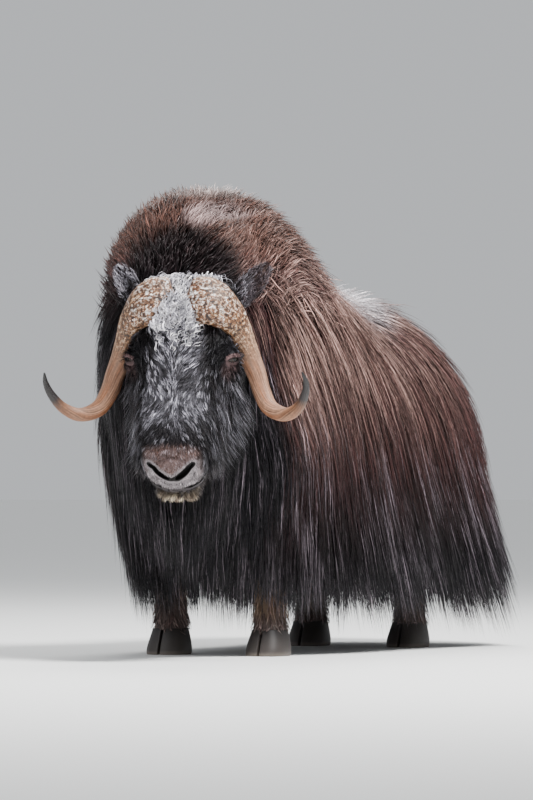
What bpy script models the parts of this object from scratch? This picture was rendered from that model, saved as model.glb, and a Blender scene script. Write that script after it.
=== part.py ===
"""Muskox bull, a still life-size model as a museum shows it.

The bull stands square on four hooves with its head lowered and turned to its own left.
It faces -Y, its left side is +X, and the hooves rest on z = 0. Metres throughout.
Dense under-wool is a smooth core, and the long guard hair is flat tapered locks on it.
"""

import math
import random

import bmesh
import bpy
import numpy as np
from mathutils import Matrix, Vector
from mathutils.bvhtree import BVHTree

# Driving dimensions
GAP = 0.0003                 # air between parts that touch
SHORTEST_EDGE = 0.00002      # cuts leave shorter ones, which are merged
HUMP_TOP = 1.302             # wool on the shoulder hump, without the locks
HUMP_Y = -0.20
CHEST_Y = -0.47
BELLY = 0.40                 # underside of the wool
RUMP_Y = 1.10
HEAD_LENGTH = 0.57
HEAD_PITCH = math.radians(68)   # nose below the level
HEAD_YAW = math.radians(16)     # turned to the bull's left
POLL = Vector((0.186, -0.735, 1.050))
FORE_HOOF = (0.160, -0.150)
HIND_HOOF = (0.165, 0.760)
HOOF_HEIGHT = 0.075
LEG_SIDES = 10
EYE_RADIUS = 0.021
EYE_PLACE = Vector((0.137, -0.200, -0.070))
SHOULDER_END = 0.14          # y where the shoulders meet the flanks
FLANK_END = 0.62             # y where the flanks meet the rump
NECK_BASE = Vector((0.0, -0.38, 0.0))
NECK_BASE_YAW = math.radians(10)
HEAD_BACK = 0.165            # from the poll back to the end of the head
HEAD_MIDDLE = 0.12           # depth of the skull's middle line under the face
MUZZLE_SLOPE = 0.30          # how far the lips reach past the nose, per metre of depth
MOUTH_LINE = (-0.141, -0.135)   # lower and upper edge of the slot between the lips
MOUTH_CORNER = -0.450
MOUTH_DEPTH = 0.011
NOSTRIL_OUTER = Vector((0.058, -0.536, -0.044))
NOSTRIL_INNER = Vector((0.013, -0.566, -0.084))
EAR_ROOT = Vector((0.125, -0.020, -0.125))
EAR_TIP = Vector((0.212, 0.095, -0.108))
EAR_FACES = Vector((0.10, -0.375, 0.927))
RING = 20                    # points round a section of the trunk

# Trunk sections from chest to rump: y, top, bottom, height of the widest place, half width,
# and how square the back is, from 2 for an ellipse upwards
TRUNK = (
    (CHEST_Y, 1.00, 0.56, 0.74, 0.10, 2.3),
    (-0.44, 1.19, 0.47, 0.72, 0.19, 2.4),
    (-0.34, 1.285, 0.41, 0.68, 0.260, 2.6),
    (HUMP_Y, HUMP_TOP, 0.39, 0.64, 0.310, 2.6),
    (-0.05, 1.245, 0.39, 0.60, 0.330, 2.5),
    (0.12, 1.115, 0.40, 0.58, 0.335, 2.4),
    (0.30, 1.045, 0.40, 0.56, 0.340, 2.3),
    (0.50, 1.035, 0.40, 0.55, 0.335, 2.2),
    (0.70, 1.025, 0.40, 0.54, 0.330, 2.1),
    (0.88, 0.965, 0.40, 0.53, 0.310, 2.0),
    (1.00, 0.875, 0.41, 0.52, 0.265, 2.0),
    (1.07, 0.775, 0.44, 0.53, 0.190, 2.0),
    (RUMP_Y, 0.67, 0.50, 0.56, 0.10, 2.0),
)
SQUARE_BOTTOM = 2.5

# Neck sections from the shoulders to the skull: centre, half width, half height
NECK = (
    ((0.000, -0.25, 0.890), 0.245, 0.390),
    ((0.018, -0.38, 0.885), 0.232, 0.395),
    ((0.058, -0.50, 0.875), 0.205, 0.365),
    ((0.105, -0.60, 0.870), 0.165, 0.275),
    ((0.158, -0.68, 0.880), 0.110, 0.140),
)

# Skull sections in the head's own frame, nose towards -Y, face up: y, top, bottom, half width
SKULL = (
    (0.050, -0.060, -0.200, 0.085),
    (0.010, -0.015, -0.250, 0.125),
    (-0.070, 0.000, -0.285, 0.140),
    (-0.150, 0.000, -0.300, 0.145),
    (-0.220, 0.000, -0.290, 0.139),
    (-0.300, -0.002, -0.258, 0.119),
    (-0.380, -0.004, -0.224, 0.103),
    (-0.450, -0.006, -0.200, 0.094),
    (-0.505, -0.012, -0.190, 0.090),
    (-0.545, -0.024, -0.180, 0.080),
    (-HEAD_LENGTH, -0.048, -0.150, 0.054),
)

# Soft rises (and hollows) on the left half of the skull: place, radius, height
HEAD_RISES = (
    (EYE_PLACE, 0.055, 0.013),                         # rim of the orbit
    (Vector((0.112, -0.170, -0.015)), 0.045, 0.016),   # brow
    (Vector((0.105, -0.150, -0.210)), 0.070, 0.014),   # cheek
    (Vector((0.060, -0.525, -0.040)), 0.030, 0.008),   # side of the nostril
    (Vector((0.105, -0.310, -0.070)), 0.060, -0.008),  # hollow before the eye
)

# Left horn in the head's frame: centre, half breadth of the boss or horn, half thickness
HORN = (
    ((0.021, -0.058, -0.002), 0.040, 0.014),
    ((0.034, -0.060, 0.006), 0.064, 0.027),
    ((0.063, -0.061, 0.012), 0.074, 0.036),
    ((0.100, -0.070, 0.002), 0.066, 0.040),
    ((0.137, -0.092, -0.034), 0.050, 0.037),
    ((0.162, -0.132, -0.080), 0.036, 0.032),
    ((0.181, -0.176, -0.112), 0.029, 0.029),
    ((0.200, -0.220, -0.133), 0.027, 0.027),
    ((0.216, -0.268, -0.146), 0.026, 0.026),
    ((0.243, -0.316, -0.148), 0.024, 0.024),
    ((0.290, -0.340, -0.136), 0.021, 0.021),
    ((0.331, -0.334, -0.102), 0.0175, 0.0175),
    ((0.356, -0.315, -0.054), 0.014, 0.014),
    ((0.365, -0.297, -0.012), 0.0095, 0.0095),
    ((0.361, -0.285, 0.030), 0.003, 0.003),
)

# A leg from inside the belly down: height, half width, half depth, and how far back a hind one is
LEG = (
    (0.50, 0.078, 0.115, 0.030),
    (0.37, 0.062, 0.078, 0.050),
    (0.27, 0.052, 0.058, 0.042),
    (0.19, 0.042, 0.046, 0.010),
    (0.12, 0.046, 0.052, 0.0),
    (HOOF_HEIGHT + GAP, 0.049, 0.058, 0.0),
)

# A hoof from its sole up: height, half width, half depth
HOOF = (
    (0.0, 0.058, 0.068),
    (0.022, 0.060, 0.066),
    (0.050, 0.054, 0.060),
    (HOOF_HEIGHT, 0.047, 0.054),
)
HOOF_LEAN = 0.012            # how far the sole lies ahead of the top
CLEFT = 0.008                # width of the split in the front of a hoof
CLEFT_END = 0.028            # how far behind the hoof's middle the split ends

# The tail from its root down: y, height, radius
TAIL = (
    (1.02, 0.800, 0.034),
    (1.085, 0.785, 0.034),
    (1.122, 0.750, 0.032),
    (1.132, 0.695, 0.026),
    (1.130, 0.635, 0.008),
)

# One lock of guard hair: share of its length, height over the wool, share of its half width,
# and half thickness
LOCK_SHAPE = (
    (0.00, -0.022, 0.72, 0.012),
    (0.26, 0.010, 1.00, 0.013),
    (0.52, 0.025, 0.96, 0.011),
    (0.78, 0.039, 0.66, 0.008),
    (1.00, 0.050, 0.00, 0.0),
)
LOCK_ROLL = math.radians(7)     # locks lie like shingles, one edge up

# Rows of locks round the trunk: share of the wool's height at the root, length, half width
COAT_ROWS = (
    (0.88, 0.33, 0.066),
    (0.62, 0.37, 0.068),
    (0.37, 0.39, 0.068),
    (0.13, 0.40, 0.066),
)
REAR_EXTRA = 0.05            # how much longer the locks are at the rear
FIRST_LOCK = -0.325          # y of the foremost lock of a row
LOCK_STEP = 0.12             # between neighbours in a row
ROW_OUT = 0.33               # how far a row lies from the middle of the trunk
RUMP_TURN = 0.78             # y about which the rows turn round the rump
RUMP_STEP = math.radians(24)
RUMP_FIRST = math.radians(8)

# Rows of the mane on each side of the neck: height of the roots, length
NECK_ROWS = ((1.13, 0.30), (0.95, 0.34), (0.77, 0.36), (0.60, 0.36))
MANE_HALF = 0.061
MANE_LIFT = 0.6              # share of the trunk's lift
CHEST_ROOTS = ((-0.16, 0.62), (-0.06, 0.57), (0.05, 0.62), (0.15, 0.58))
CHEST_LENGTH = 0.40
BEARD_LENGTH = 0.150
BEARD_HALF = 0.042
BEARD_ROOTS = ((-0.29, -0.18), (-0.20, -0.21), (-0.11, -0.22))   # y, z on the cheek
THROAT_ROOTS = (-0.30, -0.15)
FORELOCK_ROOTS = ((-0.012, -0.035), (0.013, -0.050), (-0.006, 0.010))   # x, y
FORELOCK_LENGTH = 0.085
FORELOCK_HALF = 0.020
FAR = 3.0                    # further than any part of the bull
SMALL_LOCK = 0.6             # thickness and lift of the head's locks, as a share of the trunk's
COAT_LIE = Vector((0.42, 0.20, -1.0))     # outwards, back and down
NECK_LIE = Vector((0.30, 0.12, -1.0))
CREST_LIE = Vector((0.45, 1.0, 0.0))      # locks along the back lie more backwards
CREST_LENGTH = 0.27
CREST_OUT = 0.055            # how far their roots are from the middle line
MANE_CREST_LENGTH = 0.24
CREST_HALF = 0.072
CREST_LOCKS = {"shoulder": 3, "flank": 2, "rump": 2}
HANG_FROM = 0.47             # below this height locks hang clear of the wool
REAR_FLARE = 0.17            # how far hanging locks spread, per metre down
FRONT_TUCK = -0.22
TAIL_ROOM = 0.040            # half the space that the tail takes between the locks
ROOT_SCATTER = 0.02          # how far roots stray from their row
SWAY = 0.06                  # how far a lock strays from the lie
SEED = 13

COLOURS = {
    "dark_coat": (0.030, 0.022, 0.018, 0.75, 0.0),
    "brown_coat": (0.110, 0.065, 0.040, 0.75, 0.0),
    "face_hair": (0.080, 0.075, 0.075, 0.75, 0.0),
    "horn": (0.420, 0.270, 0.170, 0.50, 0.0),
    "hoof": (0.020, 0.018, 0.017, 0.45, 0.0),
    "eye": (0.015, 0.008, 0.005, 0.08, 0.0),
    "leg_hair": (0.120, 0.100, 0.085, 0.75, 0.0),
}


def clear_scene():
    """Remove what a new file holds."""
    for thing in list(bpy.data.objects):
        bpy.data.objects.remove(thing)


def material(name):
    """Principled finish with the slot's colour, roughness and metallic value."""
    found = bpy.data.materials.get(name)
    if found:
        return found
    red, green, blue, roughness, metallic = COLOURS[name]
    made = bpy.data.materials.new(name)
    made.use_nodes = True
    shader = made.node_tree.nodes["Principled BSDF"]
    shader.inputs["Base Color"].default_value = (red, green, blue, 1)
    shader.inputs["Roughness"].default_value = roughness
    shader.inputs["Metallic"].default_value = metallic
    return made


def mesh_object(name, points, faces):
    """A new object from points and faces, linked to the scene."""
    mesh = bpy.data.meshes.new(name)
    mesh.from_pydata([tuple(p) for p in points], [], faces)
    mesh.update()
    made = bpy.data.objects.new(name, mesh)
    bpy.context.scene.collection.objects.link(made)
    return made


def remove(thing):
    """Delete an object and its mesh."""
    mesh = thing.data
    bpy.data.objects.remove(thing)
    bpy.data.meshes.remove(mesh)


def bake(thing):
    """Replace an object's mesh by what its modifiers make of it."""
    bpy.context.view_layer.update()
    graph = bpy.context.evaluated_depsgraph_get()
    made = bpy.data.meshes.new_from_object(thing.evaluated_get(graph))
    thing.modifiers.clear()
    old = thing.data
    thing.data = made
    bpy.data.meshes.remove(old)


def boolean(thing, operation, others):
    """Join, cut or clip one object by several, which are then removed."""
    tools = bpy.data.collections.new("tools")
    bpy.context.scene.collection.children.link(tools)
    for other in others:
        tools.objects.link(other)
    step = thing.modifiers.new("boolean", "BOOLEAN")
    step.operation = operation
    step.operand_type = "COLLECTION"
    step.collection = tools
    step.solver = "MANIFOLD"
    bake(thing)
    for other in others:
        remove(other)
    bpy.data.collections.remove(tools)
    return thing


def drop_flaps(shape):
    """Delete pairs of faces that lie back to back on the same three corners."""
    seen = {}
    for face in shape.faces:
        corners = frozenset(vertex.index for vertex in face.verts)
        seen.setdefault(corners, []).append(face)
    flaps = [face for pair in seen.values() if len(pair) > 1 for face in pair]
    bmesh.ops.delete(shape, geom=flaps, context="FACES")


def keep_largest(thing):
    """Keep the closed surface with the largest volume and drop scraps and hollows."""
    shape = bmesh.new()
    shape.from_mesh(thing.data)
    bmesh.ops.triangulate(shape, faces=shape.faces)
    bmesh.ops.dissolve_degenerate(shape, edges=shape.edges, dist=SHORTEST_EDGE)
    bmesh.ops.triangulate(shape, faces=shape.faces)
    shape.verts.index_update()
    drop_flaps(shape)
    unseen = set(shape.faces)
    bodies = []
    while unseen:
        front = [unseen.pop()]
        body = list(front)
        while front:
            face = front.pop()
            for edge in face.edges:
                for near in edge.link_faces:
                    if near in unseen:
                        unseen.remove(near)
                        front.append(near)
                        body.append(near)
        bodies.append(body)

    def volume(body):
        total = 0.0
        for face in body:
            a, b, c = (corner.co for corner in face.verts)
            total += a.dot(b.cross(c))
        return total

    largest = max(bodies, key=volume)
    keep = set(largest)
    bmesh.ops.delete(shape, geom=[f for f in shape.faces if f not in keep], context="FACES")
    shape.to_mesh(thing.data)
    shape.free()
    return thing


def grown(thing, by=GAP):
    """A copy of an object, swollen along its normals, to cut a neighbour with."""
    copy = thing.copy()
    copy.data = thing.data.copy()
    bpy.context.scene.collection.objects.link(copy)
    step = copy.modifiers.new("grow", "DISPLACE")
    step.mid_level = 0.0
    step.strength = by
    bake(copy)
    return copy


def loft(name, rings):
    """Closed skin over rings of equal point counts, each end closed by a flat fan."""
    count = len(rings[0])
    points = [p for ring in rings for p in ring]
    faces = []
    for i in range(len(rings) - 1):
        for j in range(count):
            k = (j + 1) % count
            faces.append((i * count + j, i * count + k, (i + 1) * count + k, (i + 1) * count + j))
    faces.append(tuple(range(count))[::-1])
    last = (len(rings) - 1) * count
    faces.append(tuple(last + j for j in range(count)))
    made = mesh_object(name, points, faces)
    face_out(made)
    return made


def face_out(thing):
    """Turn all faces outwards."""
    shape = bmesh.new()
    shape.from_mesh(thing.data)
    bmesh.ops.recalc_face_normals(shape, faces=shape.faces)
    if shape.calc_volume(signed=True) < 0:
        bmesh.ops.reverse_faces(shape, faces=shape.faces)
    shape.to_mesh(thing.data)
    shape.free()


def spread(table, count):
    """Rows of a table read off a smooth curve through them, evenly by index."""
    rows = np.array([np.hstack([np.ravel(cell) for cell in row]) for row in table], float)
    ends = np.vstack([2 * rows[0] - rows[1], rows, 2 * rows[-1] - rows[-2]])
    made = []
    for t in np.linspace(0, len(rows) - 1, count):
        i = min(int(t), len(rows) - 2)
        u = t - i
        a, b, c, d = ends[i], ends[i + 1], ends[i + 2], ends[i + 3]
        made.append(0.5 * (2 * b + (c - a) * u + (2 * a - 5 * b + 4 * c - d) * u * u
                           + (3 * b - a - 3 * c + d) * u ** 3))
    return made


def oval(count, half_width, top, bottom, middle, square_top, square_bottom):
    """Superellipse section as (x, z) pairs, from the left side round over the top."""
    section = []
    for i in range(count):
        angle = 2 * math.pi * i / count
        c, s = math.cos(angle), math.sin(angle)
        power = square_top if s >= 0 else square_bottom
        reach = top - middle if s >= 0 else middle - bottom
        x = half_width * math.copysign(abs(c) ** (2 / power), c)
        z = middle + reach * math.copysign(abs(s) ** (2 / power), s)
        section.append((x, z))
    return section


def trunk_core():
    """Dense wool of the trunk, from the chest to the rump."""
    rings = []
    for y, top, bottom, middle, half_width, square in spread(TRUNK, 14):
        section = oval(RING, half_width, top, bottom, middle, square, SQUARE_BOTTOM)
        rings.append([(x, y, z) for x, z in section])
    return loft("trunk", rings)


def neck_core():
    """Short thick neck that runs inside the shoulders and the skull."""
    rows = spread(NECK, 7)
    rings = []
    for i, row in enumerate(rows):
        centre = Vector(row[:3])
        ahead = Vector(rows[min(i + 1, len(rows) - 1)][:3]) - Vector(rows[max(i - 1, 0)][:3])
        side = ahead.cross(Vector((0, 0, 1))).normalized()
        up = side.cross(ahead).normalized()
        section = oval(20, row[3], row[4], -row[4], 0.0, 2.2, 2.2)
        rings.append([centre + side * x + up * z for x, z in section])
    return loft("neck", rings)


def head_matrix():
    """From the head's own frame to the bull's."""
    turn = Matrix.Rotation(HEAD_YAW, 4, "Z") @ Matrix.Rotation(HEAD_PITCH, 4, "X")
    return Matrix.Translation(POLL) @ turn


def ellipsoid(name, centre, radii, segments=16, rings=10):
    """A ball of given radii along the head's axes."""
    bpy.ops.mesh.primitive_uv_sphere_add(segments=segments, ring_count=rings, radius=1)
    made = bpy.context.object
    made.name = name
    made.data.transform(Matrix.Translation(centre) @ Matrix.Diagonal((*radii, 1)))
    return made


def box(name, low, high):
    """A block between two corners."""
    low, high = Vector(low), Vector(high)
    bpy.ops.mesh.primitive_cube_add(size=1)
    made = bpy.context.object
    made.name = name
    made.data.transform(Matrix.Translation((low + high) / 2) @ Matrix.Diagonal((*(high - low), 1)))
    return made


def aimed(direction, up=Vector((0, 0, 1))):
    """Rotation whose Z axis points along a direction."""
    z = Vector(direction).normalized()
    x = Vector(up).cross(z).normalized()
    return Matrix((x, z.cross(x), z)).transposed().to_4x4()


def bump(point, centre, radius, height):
    """Gaussian rise at a point, for soft forms on the skull."""
    return height * math.exp(-((Vector(point) - Vector(centre)).length / radius) ** 2)


def skull():
    """Head without the horns, in its own frame: brows, lids, muzzle, nostrils, lips and mouth."""
    rings = []
    for y, top, bottom, half_width in spread(SKULL, 18):
        middle = top + 0.42 * (bottom - top)
        section = oval(24, half_width, top, bottom, middle, 2.4, 2.2)
        rings.append([(x, y, z) for x, z in section])
    made = loft("skull", rings)
    for vertex in made.data.vertices:
        place = vertex.co.copy()
        out = Vector((place.x, 0, place.z + HEAD_MIDDLE)).normalized()
        rise = 0.0
        for side in (-1, 1):
            for centre, radius, height in HEAD_RISES:
                rise += bump(place, centre * Vector((side, 1, 1)), radius, height)
        blunt = min(max((-0.42 - place.y) / 0.12, 0.0), 1.0)
        vertex.co = place + out * rise + Vector((0, MUZZLE_SLOPE * blunt * (place.z + HEAD_MIDDLE), 0))
    pads = [
        ellipsoid("nose_pad", (0, -0.538, -0.080), (0.062, 0.034, 0.052), 14, 8),
        ellipsoid("lower_lip", (0, -0.552, -0.172), (0.054, 0.034, 0.034), 14, 7),
    ]
    for side in (-1, 1):
        pads.append(ellipsoid("wing", (side * 0.050, -0.520, -0.054), (0.025, 0.028, 0.024), 10, 6))
        pads.append(lid_ring(side))
    boolean(made, "UNION", pads)
    cutters = [mouth_groove(made)]
    for side in (-1, 1):
        cutters.append(nostril(side))
        place = EYE_PLACE * Vector((side, 1, 1))
        cutters.append(ellipsoid("socket", place, (EYE_RADIUS + GAP,) * 3, 12, 8))
    boolean(made, "DIFFERENCE", cutters)
    return keep_largest(made)


def eye_direction(side):
    """Where an eye looks, in the head's frame."""
    return Vector((side * 0.84, -0.38, 0.38)).normalized()


def lid_ring(side):
    """Upper and lower lid as one almond ring round the eye."""
    bpy.ops.mesh.primitive_torus_add(major_segments=12, minor_segments=6,
                                     major_radius=0.0205, minor_radius=0.0062)
    ring = bpy.context.object
    ring.name = "lids"
    ring.data.transform(Matrix.Diagonal((0.72, 1.16, 1, 1)))
    look = eye_direction(side)
    place = EYE_PLACE * Vector((side, 1, 1)) + look * 0.011
    ring.data.transform(Matrix.Translation(place) @ aimed(look, Vector((0, 1, 0))))
    return ring


def nostril(side):
    """Comma-shaped hollow that slants down towards the middle of the nose."""
    outer = NOSTRIL_OUTER * Vector((side, 1, 1))
    inner = NOSTRIL_INNER * Vector((side, 1, 1))
    along = outer - inner
    hole = ellipsoid("nostril", (0, 0, 0), (0.011, 0.020, along.length * 0.56), 10, 8)
    hole.data.transform(Matrix.Translation((outer + inner) / 2) @ aimed(along, Vector((1, 0, 0))))
    return hole


def mouth_groove(head):
    """Thin slot that follows the lips from the front to the corners of the mouth."""
    low, high = MOUTH_LINE
    slab = box("mouth", (-0.12, -0.66, low), (0.12, MOUTH_CORNER, high))
    inner = grown(head, -MOUTH_DEPTH)
    boolean(slab, "DIFFERENCE", [inner])
    return keep_largest(slab)


def horn(side):
    """One horn, from its boss on the forehead down past the cheek and up to the tip."""
    rows = spread(HORN, 20)
    rings = []
    for i, row in enumerate(rows):
        centre = Vector(row[:3])
        ahead = Vector(rows[min(i + 1, len(rows) - 1)][:3]) - Vector(rows[max(i - 1, 0)][:3])
        outward = centre - Vector((0.0, centre.y, -0.12))
        breadth = ahead.cross(outward).normalized()
        rise = breadth.cross(ahead).normalized()
        section = oval(10, row[3], row[4], -row[4], 0.0, 2.1, 2.1)
        rings.append([centre + breadth * x + rise * z for x, z in section])
    made = loft("horn", rings)
    if side < 0:
        mirror(made)
    return made


def mirror(thing):
    """Turn a left part into a right one."""
    thing.data.transform(Matrix.Diagonal((-1, 1, 1, 1)))
    thing.data.flip_normals()


def ear(side):
    """Cupped ear, wide at the middle and open forwards."""
    along = EAR_TIP - EAR_ROOT
    length = along.normalized()
    width = length.cross(EAR_FACES).normalized()
    opening = width.cross(length).normalized()
    long_steps, wide_steps = 8, 4
    points = []
    for i in range(long_steps + 1):
        u = i / long_steps
        half = 0.040 * math.sin(math.pi * (0.16 + 0.78 * u)) ** 0.8
        for j in range(wide_steps + 1):
            v = 2 * j / wide_steps - 1
            cup = 0.60 * half * v * v + 0.010 * math.sin(math.pi * u)
            points.append(EAR_ROOT + along * u + width * (half * v) + opening * cup)
    faces = []
    for i in range(long_steps):
        for j in range(wide_steps):
            a = i * (wide_steps + 1) + j
            faces.append((a, a + 1, a + wide_steps + 2, a + wide_steps + 1))
    made = mesh_object("ear", points, faces)
    shell = made.modifiers.new("thick", "SOLIDIFY")
    shell.thickness = 0.009
    shell.offset = 0.0
    bake(made)
    face_out(made)
    if side < 0:
        mirror(made)
        face_out(made)
    return made


def leg(name, place, hind, side):
    """A leg from inside the belly down to its hoof."""
    rings = []
    for height, half_width, half_depth, hind_shift in spread(LEG, 8):
        shift = hind_shift if hind else 0.0
        ring = []
        for j in range(LEG_SIDES):
            angle = 2 * math.pi * j / LEG_SIDES
            x = side * place[0] + half_width * math.cos(angle)
            y = place[1] + shift + half_depth * math.sin(angle)
            ring.append((x, y, height))
        rings.append(ring)
    return loft(name, rings)


def hoof(name, place, side):
    """Broad round hoof with its cleft, flat on the floor."""
    rings = []
    for height, half_width, half_depth in HOOF:
        lean = HOOF_LEAN * (1 - height / HOOF_HEIGHT)
        ring = []
        for x, y in oval(16, half_width, half_depth, -half_depth, 0.0, 2.3, 2.6):
            ring.append((side * place[0] + x, place[1] - lean + y, height))
        rings.append(ring)
    made = loft(name, rings)
    left, right = side * place[0] + CLEFT / 2, side * place[0] - CLEFT / 2
    cleft = box("cleft", (right, -FAR, -FAR), (left, place[1] + CLEFT_END, FAR))
    boolean(made, "DIFFERENCE", [cleft])
    return keep_largest(made)


def tail():
    """Short tail that lies against the rump."""
    rings = []
    for y, height, radius in TAIL:
        section = oval(10, radius, 0.8 * radius, -0.8 * radius, 0.0, 2, 2)
        rings.append([(x, y + z * 0.75, height + z * 0.65) for x, z in section])
    return loft("tail", rings)


def region(name, low, high, yaw=0.0, pivot=Vector()):
    """The space that belongs to a node: a block turned about an upright line."""
    made = box(name, low, high)
    made.data.transform(Matrix.Translation(pivot) @ Matrix.Rotation(yaw, 4, "Z"))
    return made


def neck_base_block(ahead):
    """All that lies before (or behind) the plane where the neck leaves the shoulders."""
    low, high = (-FAR, -FAR, -FAR), (FAR, -GAP / 2, FAR)
    if not ahead:
        low, high = (-FAR, GAP / 2, -FAR), (FAR, FAR, FAR)
    return region("base", low, high, NECK_BASE_YAW, NECK_BASE)


def head_back_block(ahead):
    """All that lies before (or behind) the plane at the back of the head."""
    low, high = (-FAR, -FAR, -FAR), (FAR, HEAD_BACK - GAP / 2, FAR)
    if not ahead:
        low, high = (-FAR, HEAD_BACK + GAP / 2, -FAR), (FAR, FAR, FAR)
    return region("back", low, high, HEAD_YAW, POLL)


TRUNK_NODES = {
    "shoulder": (-FAR, SHOULDER_END),
    "flank": (SHOULDER_END, FLANK_END),
    "rump": (FLANK_END, FAR),
}


def duplicate(thing, name):
    """A copy with a mesh of its own."""
    copy = thing.copy()
    copy.data = thing.data.copy()
    copy.name = name
    bpy.context.scene.collection.objects.link(copy)
    return copy


def clip_to(thing, blocks):
    """Keep only what lies inside every block."""
    for block in blocks:
        boolean(thing, "INTERSECT", [block])
    return keep_largest(thing)


def trunk_blocks(name, side):
    """The blocks that bound one half of the shoulders, flanks or rump."""
    front, back = TRUNK_NODES[name]
    half = GAP / 2
    low = (half if side > 0 else -FAR, front + half, -FAR)
    high = (FAR if side > 0 else -half, back - half, FAR)
    blocks = [region("part", low, high)]
    if name == "shoulder":
        blocks.append(neck_base_block(False))
    return blocks


def lock(spine, half_width, roll, scale=1.0):
    """Flat tapered lock along a spine of (place, outward direction) pairs."""
    points = []
    for i, (centre, out) in enumerate(spine):
        ahead = spine[min(i + 1, len(spine) - 1)][0] - spine[max(i - 1, 0)][0]
        across = ahead.cross(out).normalized()
        rise = across.cross(ahead).normalized()
        turned = across * math.cos(roll) + rise * math.sin(roll)
        rise = rise * math.cos(roll) - across * math.sin(roll)
        share, lift, width, thick = LOCK_SHAPE[i]
        if width == 0:
            points.append(centre)
            break
        half = half_width * width
        thick = thick * scale
        points += [centre + turned * half, centre + rise * thick]
        points += [centre - turned * half, centre - rise * thick]
    faces = [(0, 1, 2), (0, 2, 3)]
    tip = len(points) - 1
    for i in range(len(spine) - 2):
        for j in range(4):
            a, b = 4 * i + j, 4 * i + (j + 1) % 4
            faces += [(a, a + 4, b), (b, a + 4, b + 4)]
    for j in range(4):
        faces.append((tip - 4 + j, tip, tip - 4 + (j + 1) % 4))
    made = mesh_object("lock", points, faces)
    face_out(made)
    return made


def kept_in(place, half_width, bounds):
    """Push a place back so that a lock of this half width stays inside its node."""
    for pivot, inward in bounds:
        short = half_width + 2 * GAP - (place - pivot).dot(inward)
        if short > 0:
            place = place + inward * short
    return place


def flare(place):
    """How far a hanging lock leans out: much at the rear, inwards at the forelegs."""
    return float(np.interp(place.y, (-0.30, 0.05, 0.60, 0.95), (FRONT_TUCK, 0.0, 0.03, REAR_FLARE)))


def strand(root, out, length, half_width, tree, lie, bounds, scale=1.0):
    """Spine of a lock that follows the wool along its lie and hangs once the wool turns under."""
    spine = []
    here, hanging, done = root, False, 0.0
    for share, lift, width, thick in LOCK_SHAPE:
        step = (share - done) * length
        done = share
        if step > 0 and not hanging:
            heading = (lie - out * lie.dot(out)).normalized()
            near, normal = tree.find_nearest(here + heading * step)[:2]
            hanging = near.z < HANG_FROM or normal.z < -0.35
            if not hanging:
                here, out = near, (out + normal * 2).normalized()
        if step > 0 and hanging:
            out = Vector((out.x, out.y, 0)).normalized()
            drop = out * flare(here) + Vector((0, 0.06, -1))
            here = here + drop.normalized() * step
        spine.append((kept_in(here + out * lift * scale, half_width * width, bounds), out))
    return spine


def cast(tree, origin, direction):
    """Where a ray meets the wool, and the way the wool faces there."""
    return tree.ray_cast(Vector(origin), Vector(direction).normalized())[:2]


def wool_top(y):
    """Height of the wool along the back."""
    return float(np.interp(y, [row[0] for row in TRUNK], [row[1] for row in TRUNK]))


def trunk_bounds(name, side, beside_tail):
    """Planes that the locks of a trunk node stay inside, as (point, inward direction)."""
    front, back = TRUNK_NODES[name]
    bounds = [(Vector((side * beside_tail, 0, 0)), Vector((side, 0, 0)))]
    if name == "shoulder":
        away = Vector((-math.sin(NECK_BASE_YAW), math.cos(NECK_BASE_YAW), 0))
        bounds.append((NECK_BASE, away))
    else:
        bounds.append((Vector((0, front, 0)), Vector((0, 1, 0))))
    if name != "rump":
        bounds.append((Vector((0, back, 0)), Vector((0, -1, 0))))
    return bounds


def hem(y):
    """Height over the floor where the coat ends: lowest at the rear."""
    return float(np.interp(y, (-0.3, 0.3, 0.9), (0.17, 0.125, 0.070)))


def row_places(name, odd):
    """Where the locks of one row start: distance along the body and angle round its end."""
    shift = 0.5 if odd else 0.0
    if name == "shoulder":
        return [(FIRST_LOCK + LOCK_STEP * (i + shift), 0) for i in range(4)]
    if name == "flank":
        return [(SHOULDER_END + LOCK_STEP * (i + shift + 0.5), 0) for i in range(4)]
    straight = [(FLANK_END + LOCK_STEP * (shift + 0.5), 0)]
    return straight + [(RUMP_TURN, RUMP_FIRST + RUMP_STEP * (i + shift)) for i in range(4 - odd)]


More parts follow.
